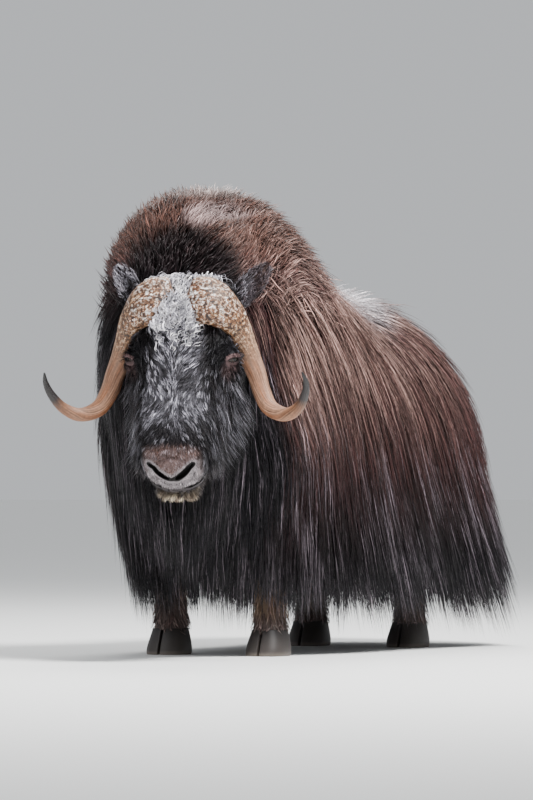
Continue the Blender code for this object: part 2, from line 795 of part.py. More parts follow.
def trunk_locks(name, side, tree, draw):
    """Rows of locks on one half of the shoulders, flanks or rump."""
    made = []
    for row, (share, length, half_width) in enumerate(COAT_ROWS):
        beside_tail = TAIL_ROOM if name == "rump" and row < 2 else 0.0
        bounds = trunk_bounds(name, side, beside_tail)
        for y, angle in row_places(name, row % 2):
            out = Vector((side * math.cos(angle), math.sin(angle), 0))
            foot = Vector((0, y, 0)) + out * ROW_OUT
            height = BELLY + share * (wool_top(min(foot.y, 1.0)) - BELLY)
            height += draw.uniform(-ROOT_SCATTER, ROOT_SCATTER)
            hit, normal = cast(tree, Vector((0, y, height)) + out * 2, -out)
            if hit is None:
                continue
            sway = draw.uniform(-SWAY, SWAY)
            lie = COAT_LIE * Vector((side, 1, 1)) + Vector((sway, sway, 0))
            rear = min(max(foot.y - 0.3, 0.0) / 0.6, 1.0)
            long = length * draw.uniform(0.92, 1.08) + REAR_EXTRA * rear
            long = min(long, hit.z - hem(foot.y) * draw.uniform(0.9, 1.3))
            wide = half_width * draw.uniform(0.92, 1.06)
            spine = strand(hit, normal, long, wide, tree, lie, bounds)
            made.append(lock(spine, wide, side * LOCK_ROLL))
    bounds = trunk_bounds(name, side, 0.0)
    front, back = max(TRUNK_NODES[name][0], -0.34), min(TRUNK_NODES[name][1], 0.90)
    for i in range(CREST_LOCKS[name]):
        y = front + (back - front) * (i + 0.5) / CREST_LOCKS[name]
        hit, normal = cast(tree, (side * CREST_OUT, y, FAR), (0, 0, -1))
        lie = CREST_LIE * Vector((side, 1, 1))
        long = CREST_LENGTH * draw.uniform(0.9, 1.1)
        spine = strand(hit, normal, long, CREST_HALF, tree, lie, bounds, 0.8)
        made.append(lock(spine, CREST_HALF, side * LOCK_ROLL))
    return made


def neck_locks(tree, draw):
    """The mane: locks down both sides of the neck, over its crest and down the chest."""
    base_away = Vector((-math.sin(NECK_BASE_YAW), math.cos(NECK_BASE_YAW), 0))
    head_away = Vector((-math.sin(HEAD_YAW), math.cos(HEAD_YAW), 0))
    nape = POLL + head_away * HEAD_BACK
    bounds = [(NECK_BASE, -base_away), (nape, head_away)]
    along = Vector((nape.x, nape.y, 0)) - NECK_BASE
    across = Vector((-along.y, along.x, 0)).normalized()
    made = []
    for side in (1, -1):
        out = -across * side
        if out.x * side < 0:
            out = -out
        for row, (height, length) in enumerate(NECK_ROWS):
            for share in (0.30, 0.78):
                spot = NECK_BASE + along * share
                hit, normal = cast(tree, Vector((spot.x, spot.y, height)) + out * 2, -out)
                if hit is None:
                    continue
                lie = NECK_LIE * Vector((side, 1, 1)) + Vector((0, draw.uniform(-0.08, 0.08), 0))
                long = length * draw.uniform(0.9, 1.05)
                spine = strand(hit, normal, long, MANE_HALF, tree, lie, bounds, MANE_LIFT)
                made.append(lock(spine, MANE_HALF, side * LOCK_ROLL))
        for share in (0.25, 0.70):
            spot = NECK_BASE + along * share + out * CREST_OUT
            hit, normal = cast(tree, (spot.x, spot.y, FAR), (0, 0, -1))
            lie = NECK_LIE * Vector((side, 1, 1))
            spine = strand(hit, normal, MANE_CREST_LENGTH, MANE_HALF, tree, lie, bounds)
            made.append(lock(spine, MANE_HALF, side * LOCK_ROLL))
    for x, height in CHEST_ROOTS:
        hit, normal = cast(tree, (x, -FAR, height), (0, 1, 0))
        long = CHEST_LENGTH * draw.uniform(0.9, 1.0)
        spine = strand(hit, normal, long, MANE_HALF, tree, Vector((0.3 * x, 0, -1)), bounds)
        made.append(lock(spine, MANE_HALF, 0.0))
    return made


def head_locks(tree, horns, to_bull, draw):
    """Beard along the jaw and cheeks, and the fleece between the horns' bosses."""
    head_away = Vector((-math.sin(HEAD_YAW), math.cos(HEAD_YAW), 0))
    bounds = [(POLL + head_away * HEAD_BACK, -head_away)]
    turn = to_bull.to_3x3()
    made = []

    def grow(origin, direction, lie, length, half_width, roll):
        hit, normal = cast(tree, to_bull @ Vector(origin), turn @ Vector(direction))
        long = length * draw.uniform(0.88, 1.08)
        spine = strand(hit, normal, long, half_width, tree, lie, bounds, SMALL_LOCK)
        made.append(lock(spine, half_width, roll, SMALL_LOCK))

    for side in (1, -1):
        for y, z in BEARD_ROOTS:
            lie = turn @ Vector((side * 0.15, -0.35, -0.6)) + Vector((0, 0.1, -0.6))
            grow((side * FAR, y, z), (-side, 0, 0), lie, BEARD_LENGTH, BEARD_HALF, side * LOCK_ROLL)
    for y in THROAT_ROOTS:
        grow((0, y, -FAR), (0, 0, 1), Vector((0, 0.05, -1)), BEARD_LENGTH, BEARD_HALF, 0.0)
    for x, y in FORELOCK_ROOTS:
        lie = turn @ Vector((x * 4, -1, 0))
        grow((x, y, FAR), (0, 0, -1), lie, FORELOCK_LENGTH, FORELOCK_HALF, 0.0)
        boolean(made[-1], "DIFFERENCE", [grown(boss) for boss in horns])
        keep_largest(made[-1])
    return made


def tree_of(thing):
    """Search tree over an object's mesh."""
    shape = bmesh.new()
    shape.from_mesh(thing.data)
    tree = BVHTree.FromBMesh(shape)
    shape.free()
    return tree


def finish(thing, name, slot):
    """Name a node, give it its material and smooth its round faces."""
    thing.name = name
    thing.data.name = name
    thing.data.materials.clear()
    thing.data.materials.append(material(slot))
    thing.data.shade_smooth()
    thing.data.set_sharp_from_angle(angle=math.radians(40))


def settle(things):
    """Put the origin under the middle of the whole bull, on the floor."""
    corners = [thing.matrix_world @ v.co for thing in things for v in thing.data.vertices]
    low = Vector(map(min, *corners))
    high = Vector(map(max, *corners))
    middle = (low + high) / 2
    for thing in things:
        thing.data.transform(Matrix.Translation((-middle.x, -middle.y, 0)))
    print("settled by", tuple(round(v, 5) for v in middle), "size", tuple(round(v, 3) for v in high - low))


def main():
    clear_scene()
    body = trunk_core()
    neck = neck_core()
    boolean(body, "UNION", [neck])
    keep_largest(body)
    local_head = skull()
    to_bull = head_matrix()
    nodes = []

    draw = random.Random(SEED)
    wool = tree_of(body)
    head = duplicate(local_head, "head")
    head.data.transform(to_bull)
    boolean(head, "UNION", [neck_core()])
    smooth_head = duplicate(head, "smooth_head")
    horns = []
    for side in (1, -1):
        made = horn(side)
        made.data.transform(to_bull)
        horns.append(made)
    boolean(head, "UNION", head_locks(tree_of(head), horns, to_bull, draw))
    clip_to(head, [head_back_block(True)])
    finish(head, "head", "face_hair")
    nodes.append(head)

    neck = duplicate(body, "neck")
    boolean(neck, "UNION", neck_locks(wool, draw))
    clip_to(neck, [neck_base_block(True), head_back_block(False)])
    finish(neck, "neck", "dark_coat")
    nodes.append(neck)

    for name in TRUNK_NODES:
        for side, word in ((1, "left"), (-1, "right")):
            part = duplicate(body, name)
            boolean(part, "UNION", trunk_locks(name, side, wool, draw))
            clip_to(part, trunk_blocks(name, side))
            finish(part, f"{name}_{word}", "brown_coat")
            nodes.append(part)

    for side, word in ((1, "left"), (-1, "right")):
        made = horns.pop(0)
        boolean(made, "DIFFERENCE", [grown(smooth_head)])
        finish(keep_largest(made), f"horn_{word}", "horn")
        nodes.append(made)
        made = ear(side)
        made.data.transform(to_bull)
        boolean(made, "DIFFERENCE", [grown(smooth_head)])
        finish(keep_largest(made), f"ear_{word}", "dark_coat")
        nodes.append(made)
        made = ellipsoid("eye", EYE_PLACE * Vector((side, 1, 1)), (EYE_RADIUS,) * 3, 12, 8)
        made.data.transform(to_bull)
        finish(made, f"eye_{word}", "eye")
        nodes.append(made)
        for place, hind, legs in ((FORE_HOOF, False, "front"), (HIND_HOOF, True, "hind")):
            made = leg("leg", place, hind, side)
            boolean(made, "DIFFERENCE", [grown(body)])
            finish(keep_largest(made), f"leg_{legs}_{word}", "leg_hair")
            nodes.append(made)
            made = hoof("hoof", place, side)
            finish(made, f"hoof_{legs}_{word}", "hoof")
            nodes.append(made)

    made = tail()
    boolean(made, "DIFFERENCE", [grown(body)])
    finish(keep_largest(made), "tail", "dark_coat")
    nodes.append(made)

    remove(body)
    remove(local_head)
    remove(smooth_head)
    settle(nodes)


main()
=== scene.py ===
"""Muskox bull, a still life-size model: skin, long coat, face, horns, eyes, hooves and the stage.

The bull faces -Y, its left side is +X, and its hooves stand on z = 0. Metres throughout.
"""

import math

import bmesh
import bpy
import numpy as np
from bpy.props import FloatProperty, FloatVectorProperty, IntProperty, PointerProperty
from mathutils import Matrix, Vector
from mathutils.bvhtree import BVHTree
from mathutils.kdtree import KDTree


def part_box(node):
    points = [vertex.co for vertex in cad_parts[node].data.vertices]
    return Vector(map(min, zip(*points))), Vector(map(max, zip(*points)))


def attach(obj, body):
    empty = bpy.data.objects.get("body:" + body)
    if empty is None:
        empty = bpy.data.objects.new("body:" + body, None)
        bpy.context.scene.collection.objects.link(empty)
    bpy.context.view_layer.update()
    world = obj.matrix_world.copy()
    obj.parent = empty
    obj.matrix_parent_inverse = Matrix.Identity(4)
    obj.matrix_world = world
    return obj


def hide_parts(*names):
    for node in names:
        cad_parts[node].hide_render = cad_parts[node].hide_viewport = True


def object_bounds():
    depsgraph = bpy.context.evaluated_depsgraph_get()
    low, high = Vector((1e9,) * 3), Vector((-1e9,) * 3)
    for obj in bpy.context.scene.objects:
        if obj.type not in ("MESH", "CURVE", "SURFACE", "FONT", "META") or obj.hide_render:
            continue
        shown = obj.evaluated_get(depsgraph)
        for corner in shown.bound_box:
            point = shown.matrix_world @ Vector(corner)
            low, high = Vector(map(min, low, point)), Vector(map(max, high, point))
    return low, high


bl_info = {
    "name": "Muskox bull",
    "version": (1, 0, 0),
    "blender": (4, 5, 0),
    "location": "View3D > Sidebar > Muskox",
    "description": "A life-size muskox bull with its long coat, horns, eyes and hooves",
    "category": "Add Mesh",
}

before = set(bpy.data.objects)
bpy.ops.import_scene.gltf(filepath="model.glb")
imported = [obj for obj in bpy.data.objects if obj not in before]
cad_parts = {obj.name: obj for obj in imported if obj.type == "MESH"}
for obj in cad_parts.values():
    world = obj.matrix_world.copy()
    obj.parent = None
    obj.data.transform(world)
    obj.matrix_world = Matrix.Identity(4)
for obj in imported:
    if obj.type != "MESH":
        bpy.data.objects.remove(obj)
CAD_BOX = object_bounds()

# Body sizes: those that the solids have are the same, apart from a muzzle 12 mm shorter
HUMP_TOP = 1.302
HUMP_Y = -0.20
CHEST_Y = -0.47
RUMP_Y = 1.10
HEAD_LENGTH = 0.558
HEAD_PITCH = math.radians(68)
HEAD_YAW = math.radians(16)
POLL = Vector((0.186, -0.735, 1.050))
FORE_HOOF = (0.160, -0.150)
HIND_HOOF = (0.165, 0.760)
HOOF_HEIGHT = 0.075
EYE_RADIUS = 0.021
EYE_PLACE = Vector((0.137, -0.200, -0.070))
EYE_GAP = 0.0004           # between an eye and its socket
SLIT_MIDDLE = -0.005
SLIT_DROP = 0.0022
SHOULDER_END = 0.14
FLANK_END = 0.62
HEAD_MIDDLE = 0.12
MUZZLE_SLOPE = 0.30
MOUTH_MIDDLE = -0.125
MOUTH_CORNER = -0.438
NOSTRIL_OUTER = Vector((0.060, -0.524, -0.043))
NOSTRIL_INNER = Vector((0.010, -0.551, -0.079))
NOSTRIL_BOW = Vector((0.004, -0.007, 0.0065))
NOSTRIL_DEPTH = 0.019
NOSTRIL_HALF = 0.0086
NOSTRIL_HALF_LENGTH = 0.56   # as a share of the way between its ends
EAR_ROOT = Vector((0.125, -0.020, -0.125))
EAR_TIP = Vector((0.212, 0.095, -0.108))
EAR_FACES = Vector((0.10, -0.375, 0.927))
PATCH = Vector((0.138, -0.42, 1.258))

# Trunk sections from chest to rump: y, top, bottom, height of the widest place, half width,
# and how square the back is
TRUNK = (
    (CHEST_Y, 1.00, 0.56, 0.74, 0.10, 2.3),
    (-0.44, 1.19, 0.47, 0.72, 0.19, 2.4),
    (-0.34, 1.285, 0.41, 0.68, 0.260, 2.6),
    (HUMP_Y, HUMP_TOP, 0.39, 0.64, 0.310, 2.6),
    (-0.05, 1.245, 0.39, 0.60, 0.330, 2.5),
    (0.12, 1.115, 0.40, 0.58, 0.335, 2.4),
    (0.30, 1.045, 0.40, 0.56, 0.340, 2.3),
    (0.50, 1.035, 0.40, 0.55, 0.335, 2.2),
    (0.70, 1.025, 0.40, 0.54, 0.330, 2.1),
    (0.88, 0.965, 0.40, 0.53, 0.310, 2.0),
    (1.00, 0.875, 0.41, 0.52, 0.265, 2.0),
    (1.07, 0.775, 0.44, 0.53, 0.190, 2.0),
    (RUMP_Y, 0.67, 0.50, 0.56, 0.10, 2.0),
)
SQUARE_BOTTOM = 2.5

# Neck sections from the shoulders to the skull: centre, half width, half height
NECK = (
    ((0.000, -0.25, 0.890), 0.245, 0.390),
    ((0.018, -0.38, 0.885), 0.232, 0.395),
    ((0.058, -0.50, 0.875), 0.205, 0.365),
    ((0.105, -0.60, 0.870), 0.165, 0.275),
    ((0.158, -0.68, 0.880), 0.110, 0.140),
)

# Skull sections in the head's own frame, nose towards -Y, face up: y, top, bottom, half width
SKULL = (
    (0.050, -0.060, -0.200, 0.085),
    (0.010, -0.015, -0.250, 0.125),
    (-0.070, 0.000, -0.285, 0.140),
    (-0.150, 0.000, -0.300, 0.145),
    (-0.220, 0.000, -0.290, 0.139),
    (-0.300, -0.002, -0.258, 0.119),
    (-0.380, -0.004, -0.224, 0.103),
    (-0.450, -0.006, -0.200, 0.094),
    (-0.500, -0.012, -0.190, 0.090),
    (-0.535, -0.024, -0.180, 0.080),
    (-HEAD_LENGTH, -0.048, -0.150, 0.054),
)

# Soft rises and hollows on the left half of the skull: place, radius, height
HEAD_RISES = (
    (EYE_PLACE, 0.055, 0.013),
    (Vector((0.112, -0.170, -0.015)), 0.045, 0.016),
    (Vector((0.105, -0.150, -0.210)), 0.070, 0.014),
    (Vector((0.060, -0.525, -0.040)), 0.030, 0.008),
    (Vector((0.105, -0.310, -0.070)), 0.060, -0.008),
)

# Left horn in the head's frame: centre, half breadth of the boss or horn, half thickness
HORN = (
    ((0.021, -0.058, -0.002), 0.040, 0.014),
    ((0.034, -0.060, 0.006), 0.064, 0.027),
    ((0.063, -0.061, 0.012), 0.074, 0.036),
    ((0.100, -0.070, 0.002), 0.066, 0.040),
    ((0.137, -0.092, -0.034), 0.050, 0.037),
    ((0.162, -0.132, -0.080), 0.036, 0.032),
    ((0.181, -0.176, -0.112), 0.029, 0.029),
    ((0.200, -0.220, -0.133), 0.027, 0.027),
    ((0.216, -0.268, -0.146), 0.025, 0.025),
    ((0.243, -0.316, -0.148), 0.0225, 0.0225),
    ((0.290, -0.340, -0.136), 0.0190, 0.0190),
    ((0.331, -0.334, -0.102), 0.0150, 0.0150),
    ((0.356, -0.315, -0.054), 0.0115, 0.0115),
    ((0.365, -0.297, -0.012), 0.0078, 0.0078),
    ((0.361, -0.285, 0.030), 0.0026, 0.0026),
)

# A leg from inside the belly down: height, half width, half depth, and how far back a hind one is
LEG = (
    (0.50, 0.078, 0.115, 0.030),
    (0.37, 0.062, 0.078, 0.050),
    (0.27, 0.052, 0.058, 0.042),
    (0.19, 0.042, 0.046, 0.010),
    (0.12, 0.046, 0.052, 0.0),
    (HOOF_HEIGHT - 0.004, 0.049, 0.058, 0.0),
)

# A hoof from its sole up: height, half width, half depth
HOOF = (
    (0.0, 0.056, 0.066),
    (0.004, 0.0595, 0.0685),
    (0.022, 0.060, 0.066),
    (0.050, 0.054, 0.060),
    (HOOF_HEIGHT, 0.047, 0.054),
)
HOOF_LEAN = 0.012
CLEFT = 0.008
CLEFT_END = 0.028
CLEFT_LENGTH = 0.2
HOOF_EDGE = math.radians(50)     # edges sharper than this stay sharp

# The tail from its root down, lower and slimmer than the solid one: y, height, radius
TAIL = (
    (1.02, 0.765, 0.026),
    (1.075, 0.745, 0.028),
    (1.110, 0.710, 0.028),
    (1.124, 0.670, 0.024),
    (1.126, 0.625, 0.008),
)

# Rise of a tuft over the wool: share of its length, height
TUFT_RISE = ((0.0, -0.024), (0.26, 0.012), (0.52, 0.027), (0.78, 0.040), (1.0, 0.050))
COAT_LIE = (0.42, 0.20, -1.0)     # outwards, back and down
NECK_LIE = (0.30, 0.12, -1.0)
HAIR_END = 0.012                  # no hair comes nearer to the floor
HANG_FROM = 0.47                  # below this height the coat hangs clear of the wool
PLUSH = 0.060
PLUSH_STEP = 0.022
PLUSH_HALF = 0.0019
MANE_HALF = 0.0018
FACE_STEP = 0.008
FACE_HALF = 0.0012
FLEECE_TUFTS = 1000
BOSS_TUFTS = 250
FLEECE_AT = (0.0, 0.042, 0.072, 0.101, 0.131, 0.150)       # down the face from the poll
FLEECE_LEFT = (0.014, 0.020, 0.034, 0.048, 0.060, 0.066)   # how far it spreads on each boss
FLEECE_RIGHT = (0.018, 0.028, 0.044, 0.062, 0.078, 0.084)
BEARD = 0.034
MUZZLE_TUFTS = 4500
MUZZLE_HALF = 0.0007
SADDLE_HAIR = 0.10
PATCH_HAIR = 0.030
REAR_FLARE = 0.20
FRONT_TUCK = -0.22
UNDERSIDE = -0.35                 # where the wool faces down more than this, hair hangs
NECK_SLANT = 0.18                 # how the line between neck and trunk slants across the body
TRUNK_FOOT = 0.40                 # height of the belly, where the coat's shades start
LEG_INSET = 0.002
ROOM_SHARE = 0.03                 # how far hair may pass the solids, as a share of each side
ROOM_SPARE = 0.009
BAKE_PATCH = 0.003
# painted highlights and shade along each tuft, in streaks
SHEEN_STREAKS = 26.0                    # per metre of a tuft
TUFT_FLATNESS = 0.55
ROOT_SHADE = 0.42                 # how bright a tuft is at its root
TIP_GAIN = 0.62                   # and how much brighter at its tip
TUFT_CONTRAST = 0.36
LOCK_CONTRAST = 0.22
# painted shade in the creases between the lids and between the lips
CREASE_SHADE = (0.005, 0.004, 0.004)    # shade between the lids and between the lips
# painted shade inside the nostrils
NOSTRIL_SHADE = (0.003, 0.002, 0.002)
SIDES = ((1, "left"), (-1, "right"))
LEGS = ((FORE_HOOF, 1, "front_left"), (FORE_HOOF, -1, "front_right"),
        (HIND_HOOF, 1, "hind_left"), (HIND_HOOF, -1, "hind_right"))


def linear(code):
    """A colour as linear light, from its sRGB hex value."""
    parts = [int(code[i:i + 2], 16) / 255 for i in (1, 3, 5)]
    return tuple(c / 12.92 if c <= 0.04045 else ((c + 0.055) / 1.055) ** 2.4 for c in parts)


def colour(name, code, description):
    """A colour setting with its default."""
    return FloatVectorProperty(name=name, description=description, subtype="COLOR", size=3,
                               min=0, max=1, default=linear(code))


def length_setting(name, default, low, high, description):
    """A length setting in metres."""
    return FloatProperty(name=name, description=description, default=default, min=low, max=high,
                         unit="LENGTH")


def count_setting(name, default, low, high, description):
    """A setting that counts tufts."""
    return IntProperty(name=name, description=description, default=default, min=low, max=high)


class MuskoxSizes(bpy.types.PropertyGroup):
    skin_depth: length_setting("Wool depth", 0.020, 0.005, 0.05,
                               "How deep the skin lies under the dense wool")
    guide_step: length_setting("Lock spacing", 0.042, 0.02, 0.2,
                               "Distance between the locks that the coat falls in")
    tuft_half: length_setting("Tuft half width", 0.0019, 0.001, 0.02,
                              "Half width of a tuft of guard hair")
    shoulder_tufts: count_setting("Shoulder tufts", 5600, 100, 8900, "Long tufts on each shoulder")
    coat_tufts: count_setting("Coat tufts", 4500, 100, 8900,
                              "Tufts on each flank and each side of the rump")
    mane_tufts: count_setting("Mane tufts", 4800, 100, 8900,
                              "Tufts on each side of the neck and chest")
    plush_tufts: count_setting("Plush tufts", 6000, 100, 12000,
                               "Short tufts on each side of the hump")
    face_tufts: count_setting("Face tufts", 7200, 100, 8900, "Short tufts on each half of the head")
    leg_tufts: count_setting("Leg tufts", 650, 50, 5000, "Short tufts on each leg")


class MuskoxColours(bpy.types.PropertyGroup):
    coat_black: colour("Black coat", "#0c0a0f", "Guard hair of the chest and the hem")
    # painted sheen: pale grey streaks on some black tufts stand in for the shine of the black hair
    coat_sheen: colour("Grey hairs", "#a2959f", "Grey hairs among the black ones")
    coat_brown: colour("Brown coat", "#442a29", "Guard hair of the flanks")
    coat_red: colour("Red-brown coat", "#4c3229", "Hair of the hump")
    # the tan is partly sun-bleached hair and partly painted sunlight on the lit shoulders and upper
    # flanks
    coat_tan: colour("Tan coat", "#b29086", "Sun-bleached hair along the upper flanks")
    frost: colour("Frosted tips", "#c9bab5", "Tips on top of the hump")
    saddle: colour("Saddle", "#dcd6da", "Pale wool behind the hump")
    worn: colour("Worn patch", "#8d7774", "Bare patch on the hump")
    face_light: colour("Light face hair", "#cfccd8", "Grey-white hair down the face")
    face_dark: colour("Dark face hair", "#1d191b", "Hair round the eyes and on the cheeks")
    fleece: colour("Fleece", "#efebe8", "Curly fleece between the horns")
    muzzle: colour("Muzzle", "#704e3f", "Short hair on top of the nose")
    lips: colour("Lips", "#b4abae", "Lips and the edges of the nose")
    chin: colour("Chin", "#d9cab1", "Beard under the lower lip")
    lid: colour("Eyelids", "#665050", "Bare skin of the lids")
    stocking: colour("Stockings", "#857c76", "Hair on the shanks")
    sleeve: colour("Sleeve", "#a8855a", "Yellowish hair on the left foreleg")


def sizes():
    return bpy.context.scene.muskox_sizes


def colours():
    return bpy.context.scene.muskox_colours


# Meshes from tables

def spread(table, count):
    """Rows of a table read off a smooth curve through them, evenly by index."""
    rows = np.array([np.hstack([np.ravel(cell) for cell in row]) for row in table], float)
    ends = np.vstack([2 * rows[0] - rows[1], rows, 2 * rows[-1] - rows[-2]])
    made = []
    for t in np.linspace(0, len(rows) - 1, count):
        i = min(int(t), len(rows) - 2)
        u = t - i
        a, b, c, d = ends[i], ends[i + 1], ends[i + 2], ends[i + 3]
        made.append(0.5 * (2 * b + (c - a) * u + (2 * a - 5 * b + 4 * c - d) * u * u
                           + (3 * b - a - 3 * c + d) * u ** 3))
    return made


def oval(count, half_width, top, bottom, middle, square_top, square_bottom):
    """Superellipse section as (x, z) pairs, from the left side round over the top."""
    section = []
    for i in range(count):
        angle = 2 * math.pi * i / count
        c, s = math.cos(angle), math.sin(angle)
        power = square_top if s >= 0 else square_bottom
        reach = top - middle if s >= 0 else middle - bottom
        x = half_width * math.copysign(abs(c) ** (2 / power), c)
        z = middle + reach * math.copysign(abs(s) ** (2 / power), s)
        section.append((x, z))
    return section


def mesh_object(name, points, faces):
    """An object made from points and faces, at the origin."""
    mesh = bpy.data.meshes.new(name)
    mesh.from_pydata([tuple(p) for p in points], [], faces)
    mesh.update()
    made = bpy.data.objects.new(name, mesh)
    bpy.context.scene.collection.objects.link(made)
    return made


def face_out(thing):
    """Turn all faces outwards."""
    shape = bmesh.new()
    shape.from_mesh(thing.data)
    bmesh.ops.recalc_face_normals(shape, faces=shape.faces)
    if shape.calc_volume(signed=True) < 0:
        bmesh.ops.reverse_faces(shape, faces=shape.faces)
    shape.to_mesh(thing.data)
    shape.free()


def loft(name, rings):
    """Closed skin over rings of equal point counts."""
    count = len(rings[0])
    points = [p for ring in rings for p in ring]
    faces = []
    for i in range(len(rings) - 1):
        for j in range(count):
            k = (j + 1) % count
            faces.append((i * count + j, i * count + k, (i + 1) * count + k, (i + 1) * count + j))
    faces.append(tuple(range(count))[::-1])
    last = (len(rings) - 1) * count
    faces.append(tuple(last + j for j in range(count)))
    made = mesh_object(name, points, faces)
    face_out(made)
    return made


def remove(thing):
    """Delete an object and its mesh."""
    mesh = thing.data
    bpy.data.objects.remove(thing)
    bpy.data.meshes.remove(mesh)


def bake(thing):
    """Apply every modifier of an object."""
    bpy.ops.object.select_all(action="DESELECT")
    thing.select_set(True)
    bpy.context.view_layer.objects.active = thing
    for step in list(thing.modifiers):
        bpy.ops.object.modifier_apply(modifier=step.name)


def boolean(thing, operation, others):
    """Join or cut one object by several, which are then removed."""
    tools = bpy.data.collections.new("tools")
    bpy.context.scene.collection.children.link(tools)
    for other in others:
        tools.objects.link(other)
    step = thing.modifiers.new("boolean", "BOOLEAN")
    step.operation = operation
    step.operand_type = "COLLECTION"
    step.collection = tools
    step.solver = "MANIFOLD"
    bake(thing)
    for other in others:
        remove(other)
    bpy.data.collections.remove(tools)
    return thing


def modified(thing, kind, **settings):
    """Add one modifier with its settings and apply it."""
    step = thing.modifiers.new(kind.lower(), kind)
    for key, value in settings.items():
        setattr(step, key, value)
    bake(thing)
    return thing


def ball(name, centre, radii, segments=32, rings=20):
    """A ball of given radii along the axes."""
    bpy.ops.object.select_all(action="DESELECT")
    bpy.ops.mesh.primitive_uv_sphere_add(segments=segments, ring_count=rings, radius=1)
    made = bpy.context.object
    made.name = name
    made.data.transform(Matrix.Translation(centre) @ Matrix.Diagonal((*radii, 1)))
    return made


def aimed(direction, up=Vector((0, 0, 1))):
    """Rotation whose Z axis points along a direction."""
    z = Vector(direction).normalized()
    x = Vector(up).cross(z).normalized()
    return Matrix((x, z.cross(x), z)).transposed().to_4x4()


def mirrored(side):
    """Scale that turns a left place into one on the given side."""
    return Vector((side, 1, 1))


def head_turn():
    """From the head's own frame to the bull's, before the bull is set down."""
    turn = Matrix.Rotation(HEAD_YAW, 4, "Z") @ Matrix.Rotation(HEAD_PITCH, 4, "X")
    return Matrix.Translation(POLL) @ turn


def stand_offset():
    """How far the solids were moved to stand over the origin, read off the left eye."""
    low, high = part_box("eye_left")
    offset = (low + high) / 2 - head_turn() @ EYE_PLACE
    return Vector((offset.x, offset.y, 0))


OFFSET = stand_offset()
TO_BULL = Matrix.Translation(OFFSET) @ head_turn()
TO_HEAD = TO_BULL.inverted()
made = {}


def set_down(thing):
    """Move a shape to where the bull stands."""
    thing.data.transform(Matrix.Translation(OFFSET))
    return thing


def on_body(place):
    """Places measured from the bull's own origin, as its tables are."""
    return np.asarray(place) - np.array(OFFSET)


def course(rows):
    """Each row of a path with its centre and the direction it runs in."""
    centres = [Vector(row[:3]) for row in rows]
    before = centres[:1] + centres[:-1]
    after = centres[1:] + centres[-1:]
    return [(row, centre, b - a) for row, centre, a, b in zip(rows, centres, before, after)]


def trunk_shape(inset, count, ring):
    """The trunk, smaller than its wool by an inset."""
    rings = []
    for y, top, bottom, middle, half_width, square in spread(TRUNK, count):
        section = oval(ring, half_width - inset, top - inset, bottom + inset, middle,
                       square, SQUARE_BOTTOM)
        rings.append([(x, y + (inset if y < 0 else -inset) * min(abs(y - 0.3) / 0.7, 1), z)
                      for x, z in section])
    return loft("trunk", rings)


def neck_shape(inset, count, ring):
    """The neck, smaller than its wool by an inset."""
    rings = []
    for row, centre, ahead in course(spread(NECK, count)):
        side = ahead.cross(Vector((0, 0, 1))).normalized()
        up = side.cross(ahead).normalized()
        section = oval(ring, row[3] - inset, row[4] - inset, inset - row[4], 0.0, 2.2, 2.2)
        rings.append([centre + side * x + up * z for x, z in section])
    return loft("neck", rings)


def wool_tree():
    """Search tree over the outside of the dense wool on trunk and neck."""
    wool = trunk_shape(0.0, 30, 36)
    boolean(wool, "UNION", [neck_shape(0.0, 16, 36)])
    set_down(wool)
    shape = bmesh.new()
    shape.from_mesh(wool.data)
    bmesh.ops.triangulate(shape, faces=shape.faces)
    shape.to_mesh(wool.data)
    tree = BVHTree.FromBMesh(shape)
    shape.free()
    bpy.context.scene.collection.objects.unlink(wool)
    return wool, tree


# The head

def head_shape():
    """Head skin in its own frame: brows, lids, muzzle, nostrils, lips and the line of the mouth."""
    rings = []
    for y, top, bottom, half_width in spread(SKULL, 90):
        middle = top + 0.42 * (bottom - top)
        section = oval(72, half_width, top, bottom, middle, 2.4, 2.2)
        rings.append([(x, y, z) for x, z in section])
    head = loft("head_skin", rings)
    place = positions(head)
    out = place * (1, 0, 1) + (0, 0, HEAD_MIDDLE)
    out /= np.linalg.norm(out, axis=1)[:, None]
    rise = np.zeros(len(place))
    for side in (-1, 1):
        for centre, radius, height in HEAD_RISES:
            away = np.linalg.norm(place - np.array(centre * mirrored(side)), axis=1)
            rise += height * np.exp(-(away / radius) ** 2)
    blunt = np.clip((-0.42 - place[:, 1]) / 0.12, 0, 1)
    moved = place + out * rise[:, None]
    moved[:, 1] += MUZZLE_SLOPE * blunt * (place[:, 2] + HEAD_MIDDLE)
    set_positions(head, moved)
    pads = [
        ball("nose_pad", (0, -0.524, -0.078), (0.062, 0.034, 0.052)),
        ball("nose_tip", (0, -0.548, -0.078), (0.015, 0.014, 0.020)),
        ball("upper_lip", (0, -0.535, -0.108), (0.058, 0.034, 0.017)),
        ball("lower_lip", (0, -0.532, -0.154), (0.050, 0.032, 0.027)),
    ]
    for side in (-1, 1):
        pads.append(ball("wing", (side * 0.052, -0.506, -0.052), (0.025, 0.028, 0.024)))
        pads += lids(side)
    boolean(head, "UNION", pads)
    cutters = [mouth_cut(), ball("philtrum", (0, -0.590, -0.104), (0.0030, 0.012, 0.022)),
               ball("joint", (0, -0.566, -0.086), (0.016, 0.012, 0.0055))]
    for side in (-1, 1):
        cutters.append(nostril(side))
        cutters.append(ball("socket", EYE_PLACE * mirrored(side), (EYE_RADIUS + EYE_GAP,) * 3))
        cutters.append(slit(side))
    boolean(head, "DIFFERENCE", cutters)
    modified(head, "REMESH", mode="VOXEL", voxel_size=0.0022)
    modified(head, "SMOOTH", factor=0.5, iterations=3)
    modified(head, "DECIMATE", ratio=0.65)
    head.data.transform(TO_BULL)
    return head


def positions(thing):
    """Points of a mesh as an array."""
    place = np.empty(len(thing.data.vertices) * 3)
    thing.data.vertices.foreach_get("co", place)
    return place.reshape(-1, 3)


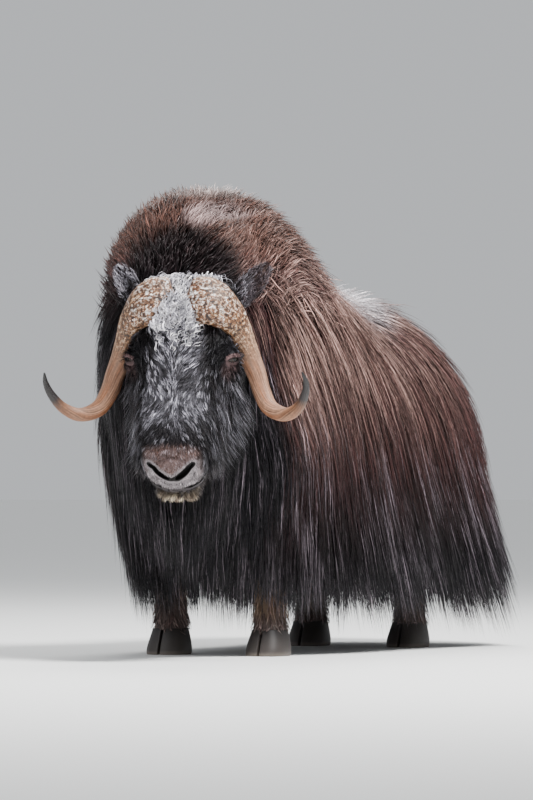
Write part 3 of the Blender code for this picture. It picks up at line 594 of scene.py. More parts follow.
def set_positions(thing, place):
    thing.data.vertices.foreach_set("co", np.ascontiguousarray(place, dtype=np.float32).ravel())
    thing.data.update()


def eye_direction(side):
    """Where an eye looks, in the head's frame."""
    return Vector((side * 0.72, -0.36, 0.59)).normalized()


def eye_gap(x, y, z):
    """Distance of places on the head from the middle of the eye on their side."""
    return np.sqrt((abs(x) - EYE_PLACE.x) ** 2 + (y - EYE_PLACE.y) ** 2 + (z - EYE_PLACE.z) ** 2)


def slit_frame(side):
    """Frame of an eye: X along its slit towards the outer corner, Z where it looks."""
    look = eye_direction(side)
    along = Vector((0, 0.6, -0.8))
    along = (along - look * along.dot(look)).normalized()
    return Matrix.Translation(EYE_PLACE * mirrored(side)) @ aimed(look, look.cross(along))


def lids(side):
    """Heavy lids round the eye, and the folds over and under them."""
    shell = ball("lid", (0, 0, 0), (EYE_RADIUS + 0.0046, EYE_RADIUS + 0.0040, EYE_RADIUS + 0.0042))
    parts = [shell]
    for radius, thick, squash, lift, shift in (
            (0.0235, 0.0040, 0.66, 0.0040, 0.0085),
            (0.0300, 0.0036, 0.72, 0.0050, 0.0010)):
        bpy.ops.object.select_all(action="DESELECT")
        bpy.ops.mesh.primitive_torus_add(major_segments=40, minor_segments=12,
                                         major_radius=radius, minor_radius=thick)
        ring = bpy.context.object
        ring.data.transform(Matrix.Translation((0, lift, shift)) @ Matrix.Diagonal((1, squash, 1, 1)))
        parts.append(ring)
    for part in parts:
        part.data.transform(slit_frame(side))
    return parts


def slit(side):
    """Opening between the lids: half closed, lower than the middle of the eye."""
    gap = ball("slit", (SLIT_MIDDLE, -SLIT_DROP, EYE_RADIUS + 0.003), (0.0165, 0.0048, 0.0125))
    gap.data.transform(slit_frame(side))
    return gap


def lid_edge(place):
    """How far out from the left eye's slit places lie: 1 at the rims of the lids."""
    local = to_frame(place, slit_frame(1).inverted())
    ring = np.hypot((local[:, 0] - SLIT_MIDDLE) / 0.0200, (local[:, 1] + SLIT_DROP) / 0.0090)
    return np.where(local[:, 2] > 0, ring, 9.0), local[:, 1]


def nostril_line(share):
    """Place on the middle line of the left nostril: outer end at 0, inner end at 1."""
    return NOSTRIL_OUTER.lerp(NOSTRIL_INNER, share) + NOSTRIL_BOW * 4 * share * (1 - share)


def nostril(side):
    """Comma-shaped slot that slants down towards the middle of the nose."""
    along = NOSTRIL_OUTER - NOSTRIL_INNER
    half_length = along.length * NOSTRIL_HALF_LENGTH
    hole = ball("nostril", (0, 0, 0), (NOSTRIL_DEPTH, NOSTRIL_HALF, half_length), 32, 24)
    place = positions(hole)
    share = place[:, 2] / half_length
    place[:, 1] *= 1 - 0.35 * share
    set_positions(hole, place)
    turn = Matrix.Translation((NOSTRIL_OUTER + NOSTRIL_INNER) / 2) @ aimed(along, Vector((1, 0, 0)))
    hole.data.transform(turn)
    bowed = positions(hole) + np.array(NOSTRIL_BOW) * (1 - share ** 2)[:, None]
    set_positions(hole, bowed * (side, 1, 1))
    face_out(hole)
    return hole


def mouth_cut():
    """Thin slot between the lips, from the front to the corners of the mouth."""
    steps, half_gap = 24, 0.0042
    points, faces = [], []
    for i in range(steps + 1):
        angle = math.pi * i / steps
        x, y = 0.100 * math.cos(angle), MOUTH_CORNER - 0.165 * math.sin(angle)
        inner_x, inner_y = x * 0.72, MOUTH_CORNER - 0.112 * math.sin(angle)
        height = MOUTH_MIDDLE + 0.006 * math.cos(angle) ** 2
        for px, py in ((x, y), (inner_x, inner_y)):
            points += [(px, py, height + half_gap), (px, py, height - half_gap)]
    for i in range(steps):
        a, b = 4 * i, 4 * i + 4
        for j, k in ((0, 1), (1, 3), (3, 2), (2, 0)):
            faces.append((a + j, a + k, b + k, b + j))
    last = 4 * steps
    faces += [(0, 2, 3, 1), (last, last + 1, last + 3, last + 2)]
    cut = mesh_object("mouth", points, faces)
    face_out(cut)
    return cut


def ear_shape(side):
    """Cupped ear, wide at the middle and open forwards."""
    along = EAR_TIP - EAR_ROOT
    length = along.normalized()
    width = length.cross(EAR_FACES).normalized()
    opening = width.cross(length).normalized()
    long_steps, wide_steps = 24, 14
    points = []
    for i in range(long_steps + 1):
        u = i / long_steps
        half = 0.031 * math.sin(math.pi * (0.16 + 0.78 * u)) ** 0.8
        for j in range(wide_steps + 1):
            v = 2 * j / wide_steps - 1
            cup = 0.60 * half * v * v + 0.010 * math.sin(math.pi * u)
            points.append(EAR_ROOT + along * u + width * (half * v) + opening * cup)
    faces = []
    for i in range(long_steps):
        for j in range(wide_steps):
            a = i * (wide_steps + 1) + j
            faces.append((a, a + 1, a + wide_steps + 2, a + wide_steps + 1))
    ear = mesh_object("ear", points, faces)
    modified(ear, "SOLIDIFY", thickness=0.007, offset=0.0)
    if side < 0:
        ear.data.transform(Matrix.Diagonal((-1, 1, 1, 1)))
    face_out(ear)
    ear.data.transform(TO_BULL)
    return ear


def leg_shape(place, side):
    """A leg from inside the belly down to its hoof."""
    rings = []
    for height, half_width, half_depth, hind_shift in spread(LEG, 34):
        wide, deep = half_width - LEG_INSET, half_depth - LEG_INSET
        shift = place[1] + (hind_shift if place is HIND_HOOF else 0.0)
        section = oval(28, wide, deep, -deep, 0.0, 2, 2)
        rings.append([(side * place[0] + x, shift + y, height) for x, y in section])
    return set_down(loft("leg", rings))


def tail_shape():
    """Short tail that lies against the rump."""
    rings = []
    for y, height, radius in spread(TAIL, 20):
        section = oval(20, radius, 0.8 * radius, -0.8 * radius, 0.0, 2, 2)
        rings.append([(x, y + z * 0.75, height + z * 0.65) for x, z in section])
    return set_down(loft("tail", rings))


# Unwrap of the skin's own shape, as charts side by side: lowest corner, size
CHARTS = {
    "trunk": ((0.00, 0.00), (0.62, 1.00)),
    "head": ((0.64, 0.52), (0.36, 0.48)),
    "neck": ((0.64, 0.22), (0.36, 0.28)),
    "ear_left": ((0.64, 0.12), (0.17, 0.08)),
    "ear_right": ((0.83, 0.12), (0.17, 0.08)),
    "leg_0": ((0.64, 0.00), (0.08, 0.10)),
    "leg_1": ((0.73, 0.00), (0.08, 0.10)),
    "leg_2": ((0.82, 0.00), (0.08, 0.10)),
    "leg_3": ((0.91, 0.00), (0.06, 0.10)),
    "tail": ((0.975, 0.00), (0.025, 0.10)),
}


def on_chart(name, along, across):
    """Places on a chart from two shares of it."""
    (left, low), (wide, high) = CHARTS[name]
    u = left + wide * (0.02 + 0.96 * np.clip(across, 0, 1))
    v = low + high * (0.02 + 0.96 * np.clip(along, 0, 1))
    return np.stack([u, v], axis=1)


def turn_share(across, up):
    """Share of a turn round a part's middle line, from below."""
    return np.arctan2(across, up) / (2 * math.pi) + 0.5


def unwrap(name, place):
    """Where roots lie on the skin's unwrap: along the part, and round it."""
    x, y, z = on_body(place).T
    inside = to_frame(place, TO_HEAD)
    if name == "trunk":
        return on_chart(name, (y - CHEST_Y) / (RUMP_Y - CHEST_Y), turn_share(x, z - 0.65))
    if name == "neck":
        return on_chart(name, (y + 0.85) / 0.55, turn_share(x - 0.06, z - 0.88))
    if name == "head":
        return on_chart(name, (inside[:, 1] + 0.62) / 0.70,
                        turn_share(inside[:, 0], inside[:, 2] + HEAD_MIDDLE))
    if name.startswith("ear"):
        side = 1 if name == "ear_left" else -1
        along = np.array(EAR_TIP - EAR_ROOT)
        share = (inside * (side, 1, 1) - np.array(EAR_ROOT)) @ along / (along @ along)
        return on_chart(name, share, (inside[:, 2] + 0.20) / 0.16)
    if name.startswith("leg"):
        hoof, side = LEGS[int(name[-1])][:2]
        return on_chart(name, z / 0.55, turn_share(x - side * hoof[0], y - hoof[1]))
    return on_chart(name, (z - 0.6) / 0.25, (x + 0.05) / 0.10)


def to_frame(place, matrix):
    """Places turned and moved by a matrix."""
    turn = np.array(matrix.to_3x3())
    return np.asarray(place) @ turn.T + np.array(matrix.translation)


def turned(direction, matrix):
    """Directions turned by a matrix."""
    return np.asarray(direction) @ np.array(matrix.to_3x3()).T


def unit(rows):
    """Rows scaled to a length of one."""
    return rows / np.maximum(np.linalg.norm(rows, axis=-1, keepdims=True), 1e-9)


# Roots and guides of the coat

def triangles_of(thing):
    """Corner places, areas and normals of an object's triangles."""
    thing.data.calc_loop_triangles()
    count = len(thing.data.loop_triangles)
    corners = np.empty(count * 3, np.int32)
    thing.data.loop_triangles.foreach_get("vertices", corners)
    places = positions(thing)[corners].reshape(count, 3, 3)
    cross = np.cross(places[:, 1] - places[:, 0], places[:, 2] - places[:, 0])
    area = np.linalg.norm(cross, axis=1) / 2
    return places, area, unit(cross)


def scatter(thing, count, wanted, draw):
    """Random roots on an object where wanted(places, normals) gives a share above a draw."""
    places, area, normals = triangles_of(thing)
    middle = places.mean(axis=1)
    weight = area * wanted(middle, normals)
    weight /= weight.sum()
    chosen = draw.choice(len(weight), size=count, p=weight)
    a, b = draw.random(count), draw.random(count)
    fold = a + b > 1
    a[fold], b[fold] = 1 - a[fold], 1 - b[fold]
    corner = places[chosen]
    root = (corner[:, 0] + (corner[:, 1] - corner[:, 0]) * a[:, None]
            + (corner[:, 2] - corner[:, 0]) * b[:, None])
    return root, normals[chosen]


def thinned(root, normal, step):
    """Roots that keep a distance from each other, taken in order."""
    kept = []
    cells = {}
    for i, place in enumerate(root):
        key = tuple(int(math.floor(c / step)) for c in place)
        near = [cells.get((key[0] + a, key[1] + b, key[2] + c), ())
                for a in (-1, 0, 1) for b in (-1, 0, 1) for c in (-1, 0, 1)]
        if any(np.sum((root[j] - place) ** 2) < step * step for group in near for j in group):
            continue
        cells.setdefault(key, []).append(i)
        kept.append(i)
    return root[kept], normal[kept]


def flare(y):
    """How far hanging hair leans out: much at the rear, inwards at the forelegs."""
    return float(np.interp(y, (-0.30, 0.05, 0.60, 0.95), (FRONT_TUCK, 0.0, 0.03, REAR_FLARE)))


def sweep(y):
    """How far hanging hair runs backwards: most along the flanks."""
    return float(np.interp(y, (-0.40, 0.05, 0.50, 0.95), (0.02, 0.16, 0.30, 0.08)))


def trace(tree, root, out, length, lie_at, steps=9, hangs=True, lean=None):
    """Guide line of a lock: follows the wool along its lie, and hangs once the wool turns under."""
    here, out = Vector(root), Vector(out)
    line, outs = [here.copy()], [out.copy()]
    hanging = False
    step = length / (steps - 1)
    for _ in range(steps - 1):
        if not hanging:
            lie = Vector(lie_at(here, out))
            heading = (lie - out * lie.dot(out)).normalized()
            near, normal = tree.find_nearest(here + heading * step)[:2]
            hanging = hangs and (near.z < HANG_FROM or normal.z < UNDERSIDE)
            if not hanging:
                here, out = near, (out + normal * 2).normalized()
        if hanging:
            out = Vector((out.x, out.y, 0)).normalized()
            outwards = flare(here.y - OFFSET.y) if lean is None else lean
            drop = out * outwards + Vector((0, sweep(here.y - OFFSET.y), -1))
            here = here + drop.normalized() * step
        line.append(here.copy())
        outs.append(out.copy())
    return line, outs


class Guides:
    """Guide lines with their frames, and the tufts that follow them."""

    def __init__(self, traced):
        self.line = np.array([[tuple(p) for p in line] for line, outs in traced])
        self.out = unit(np.array([[tuple(p) for p in outs] for line, outs in traced]))
        ahead = unit(np.gradient(self.line, axis=1))
        self.across = unit(np.cross(ahead, self.out))
        self.out = np.cross(self.across, ahead)
        self.ahead = ahead
        self.tree = KDTree(len(traced))
        for i, place in enumerate(self.line[:, 0]):
            self.tree.insert(Vector(place), i)
        self.tree.balance()

    def follow(self, root, steps, clump, reach, near=3):
        """Paths from roots that run as their nearest guides do, and which guide is nearest."""
        near = min(near, len(self.line))
        found = [self.tree.find_n(Vector(p), near) for p in root]
        index = np.array([[hit[1] for hit in row] for row in found])
        away = np.array([[hit[2] for hit in row] for row in found])
        weight = 1 / (away + 0.004) ** 2
        weight /= weight.sum(axis=1, keepdims=True)
        last = self.line.shape[1] - 1
        at = np.linspace(0, 1, steps)[None] * reach[:, None]
        low = np.minimum((at * last).astype(int), last - 1)
        mix = (at * last - low)[:, :, None]
        path = np.zeros((len(root), steps, 3))
        out = np.zeros((len(root), steps, 3))
        # the nearest guide takes over towards the tip, so that locks form
        lean = clump[:, None] * at
        nearest = weight[:, :1] + (1 - weight[:, :1]) * lean
        others = (1 - nearest) / np.maximum(1 - weight[:, :1], 1e-6)
        for k in range(near):
            one = index[:, k, None]
            line, across, rise, ahead = (
                field[one, low] * (1 - mix) + field[one, low + 1] * mix
                for field in (self.line, self.across, self.out, self.ahead))
            offset = root - line[:, 0]
            part = [np.einsum("ij,ij->i", offset, axis[:, 0])[:, None]
                    for axis in (across, rise, ahead)]
            draw_in = 1 - lean * np.sqrt(at) if k == 0 else np.ones_like(at)
            moved = (line + across * (part[0] * draw_in)[:, :, None]
                     + rise * (part[1] * draw_in)[:, :, None] + ahead * part[2][:, :, None])
            share = (nearest if k == 0 else weight[:, k, None] * others)[:, :, None]
            path += moved * share
            out += rise * share
        return path, unit(out), index[:, 0]


def guides_on(thing, tree, count, wanted, draw, guide, step=0.0):
    """Guide lines from random roots on an object, none nearer to another than a step."""
    root, normal = scatter(thing, count, wanted, draw)
    if step:
        root, normal = thinned(root, normal, step)
    return Guides([guide(tree, r, n, draw) for r, n in zip(root, normal)])


def add_map(mesh, name, places, corner):
    """Give a mesh a UV map, from one place for each point."""
    layer = mesh.uv_layers.new(name=name)
    layer.data.foreach_set("uv", places[corner].astype(np.float32).ravel())


def add_value(mesh, name, values):
    """Store one number on each point of a mesh."""
    layer = mesh.attributes.new(name, "FLOAT", "POINT")
    layer.data.foreach_set("value", values.astype(np.float32))


def paint(mesh, tint):
    """Store a colour on each point of a mesh."""
    layer = mesh.color_attributes.new("tint", "FLOAT_COLOR", "POINT")
    full = np.ones((len(tint), 4), np.float32)
    full[:, :3] = tint
    layer.data.foreach_set("color", full.ravel())


def tuft_points(path, out, half, thick):
    """Corners of each tuft: rings of three along its spine, then its tip."""
    count, steps = path.shape[:2]
    rings = steps - 1
    ahead = unit(np.gradient(path, axis=1))
    across = unit(np.cross(ahead, out))
    rise = np.cross(across, ahead)
    corners = np.empty((count, rings, 3, 3))
    spine = path[:, :rings]
    corners[:, :, 0] = spine + across[:, :rings] * half[:, :rings, None]
    corners[:, :, 1] = spine + rise[:, :rings] * thick[:, :rings, None]
    corners[:, :, 2] = spine - across[:, :rings] * half[:, :rings, None]
    return np.concatenate([corners.reshape(count, rings * 3, 3), path[:, rings:]], axis=1)


def tuft_faces(rings):
    """The corners of one tuft's faces in a row, and where in that row each face starts."""
    last = 3 * rings - 3
    quads, triangles = [], [(0, 1, 2)]
    for i in range(rings - 1):
        for j in range(3):
            a, b = 3 * i + j, 3 * i + (j + 1) % 3
            quads.append((a, a + 3, b + 3, b))
    for j in range(3):
        triangles.append((last + j, last + 3, last + (j + 1) % 3))
    totals = [4] * len(quads) + [3] * len(triangles)
    loops = np.concatenate([np.ravel(quads), np.ravel(triangles)]).astype(np.int64)
    return loops, np.concatenate([[0], np.cumsum(totals)[:-1]])


def tufts(name, path, out, half, thick, tint, bake_at, material, node_slot):
    """One joined mesh of closed three-sided tapered tufts from arrays of spines."""
    count, steps = path.shape[:2]
    rings = steps - 1
    per = rings * 3 + 1
    points = tuft_points(path, out, half, thick)
    loops, starts = tuft_faces(rings)
    base = np.arange(count)[:, None]
    corner_of = (loops[None] + base * per).ravel()
    mesh = bpy.data.meshes.new(name)
    mesh.vertices.add(count * per)
    mesh.vertices.foreach_set("co", points.astype(np.float32).ravel())
    mesh.loops.add(len(corner_of))
    mesh.loops.foreach_set("vertex_index", corner_of.astype(np.int32))
    mesh.polygons.add(count * len(starts))
    mesh.polygons.foreach_set(
        "loop_start", (starts[None] + base * len(loops)).ravel().astype(np.int32))
    mesh.update(calc_edges=True)
    shares = np.concatenate([np.repeat(np.linspace(0, 1, steps)[:rings], 3), [1.0]])
    side = np.concatenate([np.tile([0.0, 0.5, 1.0], rings), [0.5]])
    patch = np.stack([(side - 0.5) * BAKE_PATCH, (shares - 0.5) * BAKE_PATCH], axis=1)
    add_map(mesh, "OFBake", (bake_at[:, None] + patch[None]).reshape(-1, 2), corner_of)
    # the streaks, painted highlights and shade of a tuft's waves, change every centimetre or so along
    # it
    length = np.linalg.norm(np.diff(path, axis=1), axis=2).sum(axis=1)[:, None]
    along = np.broadcast_to(shares, (count, per)) * length * SHEEN_STREAKS
    strand = np.stack([np.broadcast_to(side, (count, per)), along], axis=2)
    strand = strand + (base * 0.73 % 50)[:, :, None]
    add_map(mesh, "strand", strand.reshape(-1, 2), corner_of)
    tints = np.concatenate([np.repeat(tint[:, :rings], 3, axis=1), tint[:, -1:]], axis=1)
    paint(mesh, tints.reshape(-1, 3))
    piece = bpy.data.objects.new(name, mesh)
    bpy.context.scene.collection.objects.link(piece)
    return place_piece(piece, material, node_slot)


# Materials

def node(tree, kind, links=None, **settings):
    """Add one node with its settings, and link sockets to its inputs by name or number."""
    one = tree.nodes.new(kind)
    for key, value in settings.items():
        if key == "inputs":
            for name, number in value.items():
                one.inputs[name].default_value = number
        else:
            setattr(one, key, value)
    for name, socket in (links or {}).items():
        tree.links.new(socket, one.inputs[name])
    return one


def surface(name, roughness, **sockets):
    """A material with its shader, ready for colour and bump."""
    material = bpy.data.materials.new(name)
    material.use_nodes = True
    shader = material.node_tree.nodes["Principled BSDF"]
    shader.inputs["Roughness"].default_value = roughness
    for key, value in sockets.items():
        shader.inputs[key.replace("_", " ")].default_value = value
    return material, material.node_tree, shader


def ramp(tree, factor, stops):
    """A colour ramp over a factor, from (place, hex colour) pairs."""
    one = node(tree, "ShaderNodeValToRGB", {"Fac": factor})
    band = one.color_ramp
    for i, (place, code) in enumerate(stops):
        stop = band.elements[i] if i < 2 else band.elements.new(place)
        stop.position = place
        stop.color = (*linear(code), 1)
    return one.outputs["Color"]


def scaled(tree, value, low, high):
    """A value from 0 to 1 spread between two others."""
    one = node(tree, "ShaderNodeMapRange", {"Value": value},
               inputs={"To Min": low, "To Max": high})
    return one.outputs["Result"]


def span(tree, value, start, end):
    """Share from 0 where a value is at its start to 1 at its end."""
    one = node(tree, "ShaderNodeMapRange", {"Value": value},
               inputs={"From Min": start, "From Max": end})
    return one.outputs["Result"]


def multiplied(tree, tint, factor):
    """A colour made lighter or darker by a factor."""
    return node(tree, "ShaderNodeVectorMath", {0: tint, "Scale": factor},
                operation="SCALE").outputs["Vector"]


def mixed_by(tree, share, first, second, blend="MIX"):
    """One colour turned into another by a share."""
    return node(tree, "ShaderNodeMix", {"Factor": share, 6: first, 7: second},
                data_type="RGBA", blend_type=blend).outputs[2]


def added(tree, first, second):
    """Sum of two values."""
    return node(tree, "ShaderNodeMath", {0: first, 1: second}, operation="ADD").outputs["Value"]


def noise(tree, place, scale, detail, **more):
    """Noise over a place, from 0 to 1."""
    return node(tree, "ShaderNodeTexNoise", {"Vector": place},
                inputs={"Scale": scale, "Detail": detail, **more}).outputs["Fac"]


def stored(tree, name, output="Fac"):
    """A number or colour stored on the mesh."""
    return node(tree, "ShaderNodeAttribute", attribute_name=name).outputs[output]


def on_map(tree, name):
    """Place on one of the mesh's UV maps."""
    return node(tree, "ShaderNodeUVMap", uv_map=name).outputs["UV"]


def on_object(tree):
    """Place on the object, in metres."""
    return node(tree, "ShaderNodeTexCoord").outputs["Object"]


def stretched(tree, place, scale):
    """Places scaled along each axis."""
    return node(tree, "ShaderNodeMapping", {"Vector": place},
                inputs={"Scale": scale}).outputs["Vector"]


def set_shader(tree, shader, base, height, strength, distance):
    """Give a shader its colour, and its bump from a height."""
    tree.links.new(base, shader.inputs["Base Color"])
    bump = node(tree, "ShaderNodeBump", {"Height": height},
                inputs={"Strength": strength, "Distance": distance})
    tree.links.new(bump.outputs["Normal"], shader.inputs["Normal"])


def hair_material():
    """Guard hair: smooth keratin fibres, glossy along their length, finer than a tuft, with streaks of
    painted highlight and shade.
    """
    material, tree, shader = surface("guard_hair", 0.42, Specular_IOR_Level=0.20)
    # fibres are far under a pixel, so each streak stands for a few dozen of them: their own tones, and
    # painted highlights and shade along their waves
    streak = noise(tree, on_map(tree, "strand"), 3.0, 2.0)
    streaks_with_sheen = scaled(tree, span(tree, streak, 0.30, 0.70), 0.35, 1.60)
    set_shader(tree, shader, multiplied(tree, stored(tree, "tint", "Color"), streaks_with_sheen), streak,
               0.35, 0.001)
    return material


def hide_material():
    """Skin with short flat hair: dull, with the hair's fine grain as bump."""
    material, tree, shader = surface("hide", 0.62, Specular_IOR_Level=0.15)
    grain = noise(tree, stretched(tree, on_object(tree), (1.0, 1.0, 0.25)), 420.0, 3.0)
    grained = scaled(tree, grain, 0.7, 1.3)
    set_shader(tree, shader, multiplied(tree, stored(tree, "tint", "Color"), grained), grain,
               0.5, 0.0015)
    return material


def horn_material():
    """Horn keratin: chalky and cracked on the boss, waxy with lengthwise grain below it."""
    material, tree, shader = surface("horn_keratin", 0.48, Specular_IOR_Level=0.5)
    place = on_object(tree)
    along = stored(tree, "along")
    grain_map = on_map(tree, "grain")
    pale_shaft = ramp(tree, along, (
        (0.0, "#c9b29d"), (0.30, "#a5866f"), (0.42, "#987560"), (0.62, "#a97d62"),
        (0.79, "#8b6248"), (0.85, "#2a2526"), (1.0, "#141314")))
    amber_shaft = ramp(tree, along, (
        (0.0, "#8f5a32"), (0.60, "#90542c"), (0.78, "#70442a"), (0.85, "#2b2220"),
        (1.0, "#141214")))
    blotch = noise(tree, place, 120.0, 4.0, Roughness=0.66)
    crust = ramp(tree, blotch, (
        (0.40, "#2a1810"), (0.46, "#804e2e"), (0.51, "#b0805f"), (0.55, "#dbd0c9"),
        (0.61, "#fbf9f8")))
    golden = ramp(tree, blotch, (
        (0.38, "#20130e"), (0.45, "#643c22"), (0.53, "#9c6a40"), (0.62, "#d6bea4")))
    # the crust wears off unevenly, further down in some patches than in others
    patches = noise(tree, place, 32.0, 3.0)
    further = node(tree, "ShaderNodeMath", {0: patches}, operation="MULTIPLY_ADD",
                   inputs={1: 0.9, 2: -0.45}).outputs["Value"]
    worn_off = span(tree, added(tree, further, along), 0.03, 0.20)
    bands = noise(tree, stretched(tree, grain_map, (0.16, 0.5, 1.0)), 1.0, 3.0)
    shaft = mixed_by(tree, span(tree, bands, 0.46, 0.68), pale_shaft, amber_shaft)
    base = mixed_by(tree, span(tree, along, 0.24, 0.42), mixed_by(tree, worn_off, crust, golden),
                    shaft)
    split = noise(tree, stretched(tree, grain_map, (1.5, 7.0, 1.0)), 1.0, 3.0, Distortion=0.6)
    # cracks run where the noise passes its middle, and fade out below the boss
    crack = ramp(tree, split, ((0.455, "#ffffff"), (0.49, "#3a3230"), (0.51, "#3a3230"),
                               (0.545, "#ffffff")))
    cracked = mixed_by(tree, span(tree, along, 0.42, 0.22), base, crack, "MULTIPLY")
    fibre = noise(tree, grain_map, 1.0, 5.0, Roughness=0.7)
    grained = scaled(tree, span(tree, fibre, 0.36, 0.64), 0.34, 1.32)
    specked = scaled(tree, span(tree, blotch, 0.40, 0.60), 0.84, 1.10)
    tree.links.new(scaled(tree, blotch, 0.40, 0.72), shader.inputs["Roughness"])
    set_shader(tree, shader, multiplied(tree, multiplied(tree, cracked, grained), specked),
               added(tree, fibre, blotch), 0.7, 0.0016)
    return material


def hoof_material():
    """Hoof keratin: near black, scuffed pale towards the sole, with growth rings."""
    material, tree, shader = surface("hoof_keratin", 0.5, Specular_IOR_Level=0.45)
    place = on_object(tree)
    height = node(tree, "ShaderNodeSeparateXYZ", {"Vector": place}).outputs["Z"]
    rings = node(tree, "ShaderNodeTexWave", {"Vector": place}, bands_direction="Z",
                 inputs={"Scale": 95.0, "Distortion": 5.0, "Detail": 3.0}).outputs["Fac"]
    base = ramp(tree, span(tree, height, 0.0, HOOF_HEIGHT),
                ((0.0, "#6b6259"), (0.18, "#3a3431"), (1.0, "#211d1c")))
    set_shader(tree, shader, multiplied(tree, base, scaled(tree, rings, 0.9, 1.1)), rings,
               0.25, 0.0005)
    return material


def eye_material():
    """A wet eye: dark brown iris, level pupil, clear shine over all of it."""
    material, tree, shader = surface("wet_eye", 0.22, Specular_IOR_Level=0.25, Coat_Weight=0.18,
                                     Coat_Roughness=0.08)
    base = ramp(tree, stored(tree, "iris"), (
        (0.0, "#050404"), (0.34, "#070505"), (0.42, "#23150d"), (0.66, "#2e1c11"),
        (0.72, "#0e0a08"), (0.9, "#3a2e29")))
    tree.links.new(base, shader.inputs["Base Color"])
    return material


# Markings, the same on skin and coat

def mixed(a, b, share):
    """Rows of colour between two colours."""
    share = np.clip(np.asarray(share, float), 0, 1)[..., None]
    return np.asarray(a) * (1 - share) + np.asarray(b) * share


def smooth(value, low, high):
    """Soft step from 0 at low to 1 at high."""
    share = np.clip((value - low) / (high - low), 0, 1)
    return share * share * (3 - 2 * share)


def share_up(y, z):
    """Share of the way up from the belly to the wool along the back."""
    top = np.interp(y, [row[0] for row in TRUNK], [row[1] for row in TRUNK])
    return (z - TRUNK_FOOT) / (top - TRUNK_FOOT)


def on_hump(y, z):
    """Share of short plush hair at a place: all of it on top of the hump, none on the sides."""
    return smooth(z, 0.94, 1.19) * smooth(y, 0.16, -0.12)


def on_patch(x, y, z):
    """Share of the worn patch on the front of the hump at a place."""
    dent = 0.10 * np.sin(x * 71 + z * 37) + 0.10 * np.sin(z * 93 - x * 41)
    away = np.sqrt(((x - PATCH.x) / 0.058) ** 2 + ((z - PATCH.z) / 0.042) ** 2) + dent
    return smooth(away, 1.1, 0.8) * smooth(y, -0.25, -0.36)


def on_saddle(x, y, height):
    """Share of the pale saddle at a place behind the hump."""
    away = np.sqrt(((x - 0.04) / 0.21) ** 2 + ((y - 0.39) / 0.29) ** 2)
    return smooth(away, 1.15, 0.65) * smooth(height, 0.78, 0.93)


def frosted(x, z, bleach, tip):
    """Share of frost on hair at a place along the very top of the hump."""
    mottled = 0.35 + 0.65 * smooth(bleach, 0.05, 0.5)
    return smooth(z, 1.295, 1.34) * smooth(x, -0.12, 0.08) * mottled * smooth(tip, 0.1, 0.6)


def trunk_tint(place, bleach, tip):
    """Colour of the trunk's coat: place on the body, how bleached a tuft is, share to its tip."""
    shade = colours()
    x, y, z = on_body(place).T
    height = share_up(y, z)
    tint = mixed(shade.coat_black, shade.coat_brown, smooth(height, -0.26, 0.44))
    shoulder = smooth(y, 0.10, -0.10)
    streak = smooth(bleach, 0.08 - 0.06 * shoulder, 0.65 - 0.17 * shoulder)
    # painted sheen: some tufts low on the trunk take a grey highlight
    glint = smooth(bleach, 0.44, 0.74)
    tint = mixed(tint, shade.coat_sheen, 0.50 * glint * smooth(height, 0.50, 0.15))
    red = smooth(height, 0.45, 0.85) * smooth(y, 0.45, 0.05)
    tint = mixed(tint, shade.coat_red, 0.8 * red)
    streak = streak + 0.35 * (0.5 - streak) * smooth(z, 0.85, 1.05)
    # the tan is partly sun-bleached hair and partly painted sunlight, reaching further forward on the
    # lit left shoulder
    tan = streak * smooth(z, 0.48, 0.92)
    tan = tan * np.where(x > 0, smooth(y, -0.42, -0.24), smooth(y, -0.44, -0.04))
    tan = tan * (1 - 0.62 * smooth(z, 1.06, 1.20)) * (1 - 0.9 * smooth(y, 0.56, 0.90))
    tint = mixed(tint, shade.coat_tan, 0.94 * tan)
    chest = smooth(y, -0.22, -0.42) * smooth(height, 0.80, 0.50)
    tint = mixed(tint, shade.coat_black, 0.8 * chest * (1 - 0.6 * glint))
    tint = mixed(tint, shade.frost, frosted(x, z, bleach, tip))
    tint = mixed(tint, shade.saddle, (0.75 + 0.25 * bleach) * on_saddle(x, y, height))
    return mixed(tint, shade.worn, on_patch(x, y, z))


def neck_tint(place, bleach, tip):
    """Colour of the mane: black below and behind the horns, brown over the crest, with painted sunlight
    and sheen.
    """
    shade = colours()
    local = on_body(place)
    x, y, z = local.T
    # painted sunlight: the lit brown of the shoulder reaches further down than the crest's
    shoulder = smooth(x, 0.23, 0.32) + smooth(-x, 0.15, 0.26) * smooth(y, -0.40, -0.08)
    tint = mixed(shade.coat_black, shade.coat_brown, smooth(z + 0.42 * shoulder, 0.90, 1.12))
    streak = smooth(bleach, 0.08 - 0.06 * shoulder, 0.65 - 0.17 * shoulder)
    # painted sheen: some tufts low on the neck take a grey highlight
    glint = smooth(bleach, 0.48, 0.76)
    tint = mixed(tint, shade.coat_sheen, 0.46 * glint * smooth(z, 1.05, 0.80))
    tint = mixed(tint, shade.coat_red, 0.9 * smooth(z, 1.04, 1.20))
    # the tan streaks are partly sun-bleached hair and partly painted sunlight on the shoulders and the
    # lit left side
    bleached_and_sunlit = 0.03 + 0.30 * smooth(x, 0.04, 0.24) + 0.58 * shoulder * smooth(z, 1.22, 1.08)
    bleached_and_sunlit = bleached_and_sunlit * smooth(z + 0.40 * shoulder, 0.98, 1.20)
    tint = mixed(tint, shade.coat_tan, bleached_and_sunlit * streak)
    near = np.linalg.norm(local - np.array(POLL), axis=1)
    tint = mixed(tint, shade.coat_black, 0.9 * smooth(near, 0.31, 0.20))
    tint = mixed(tint, shade.frost, frosted(x, z, bleach, tip))
    return mixed(tint, shade.worn, on_patch(x, y, z))


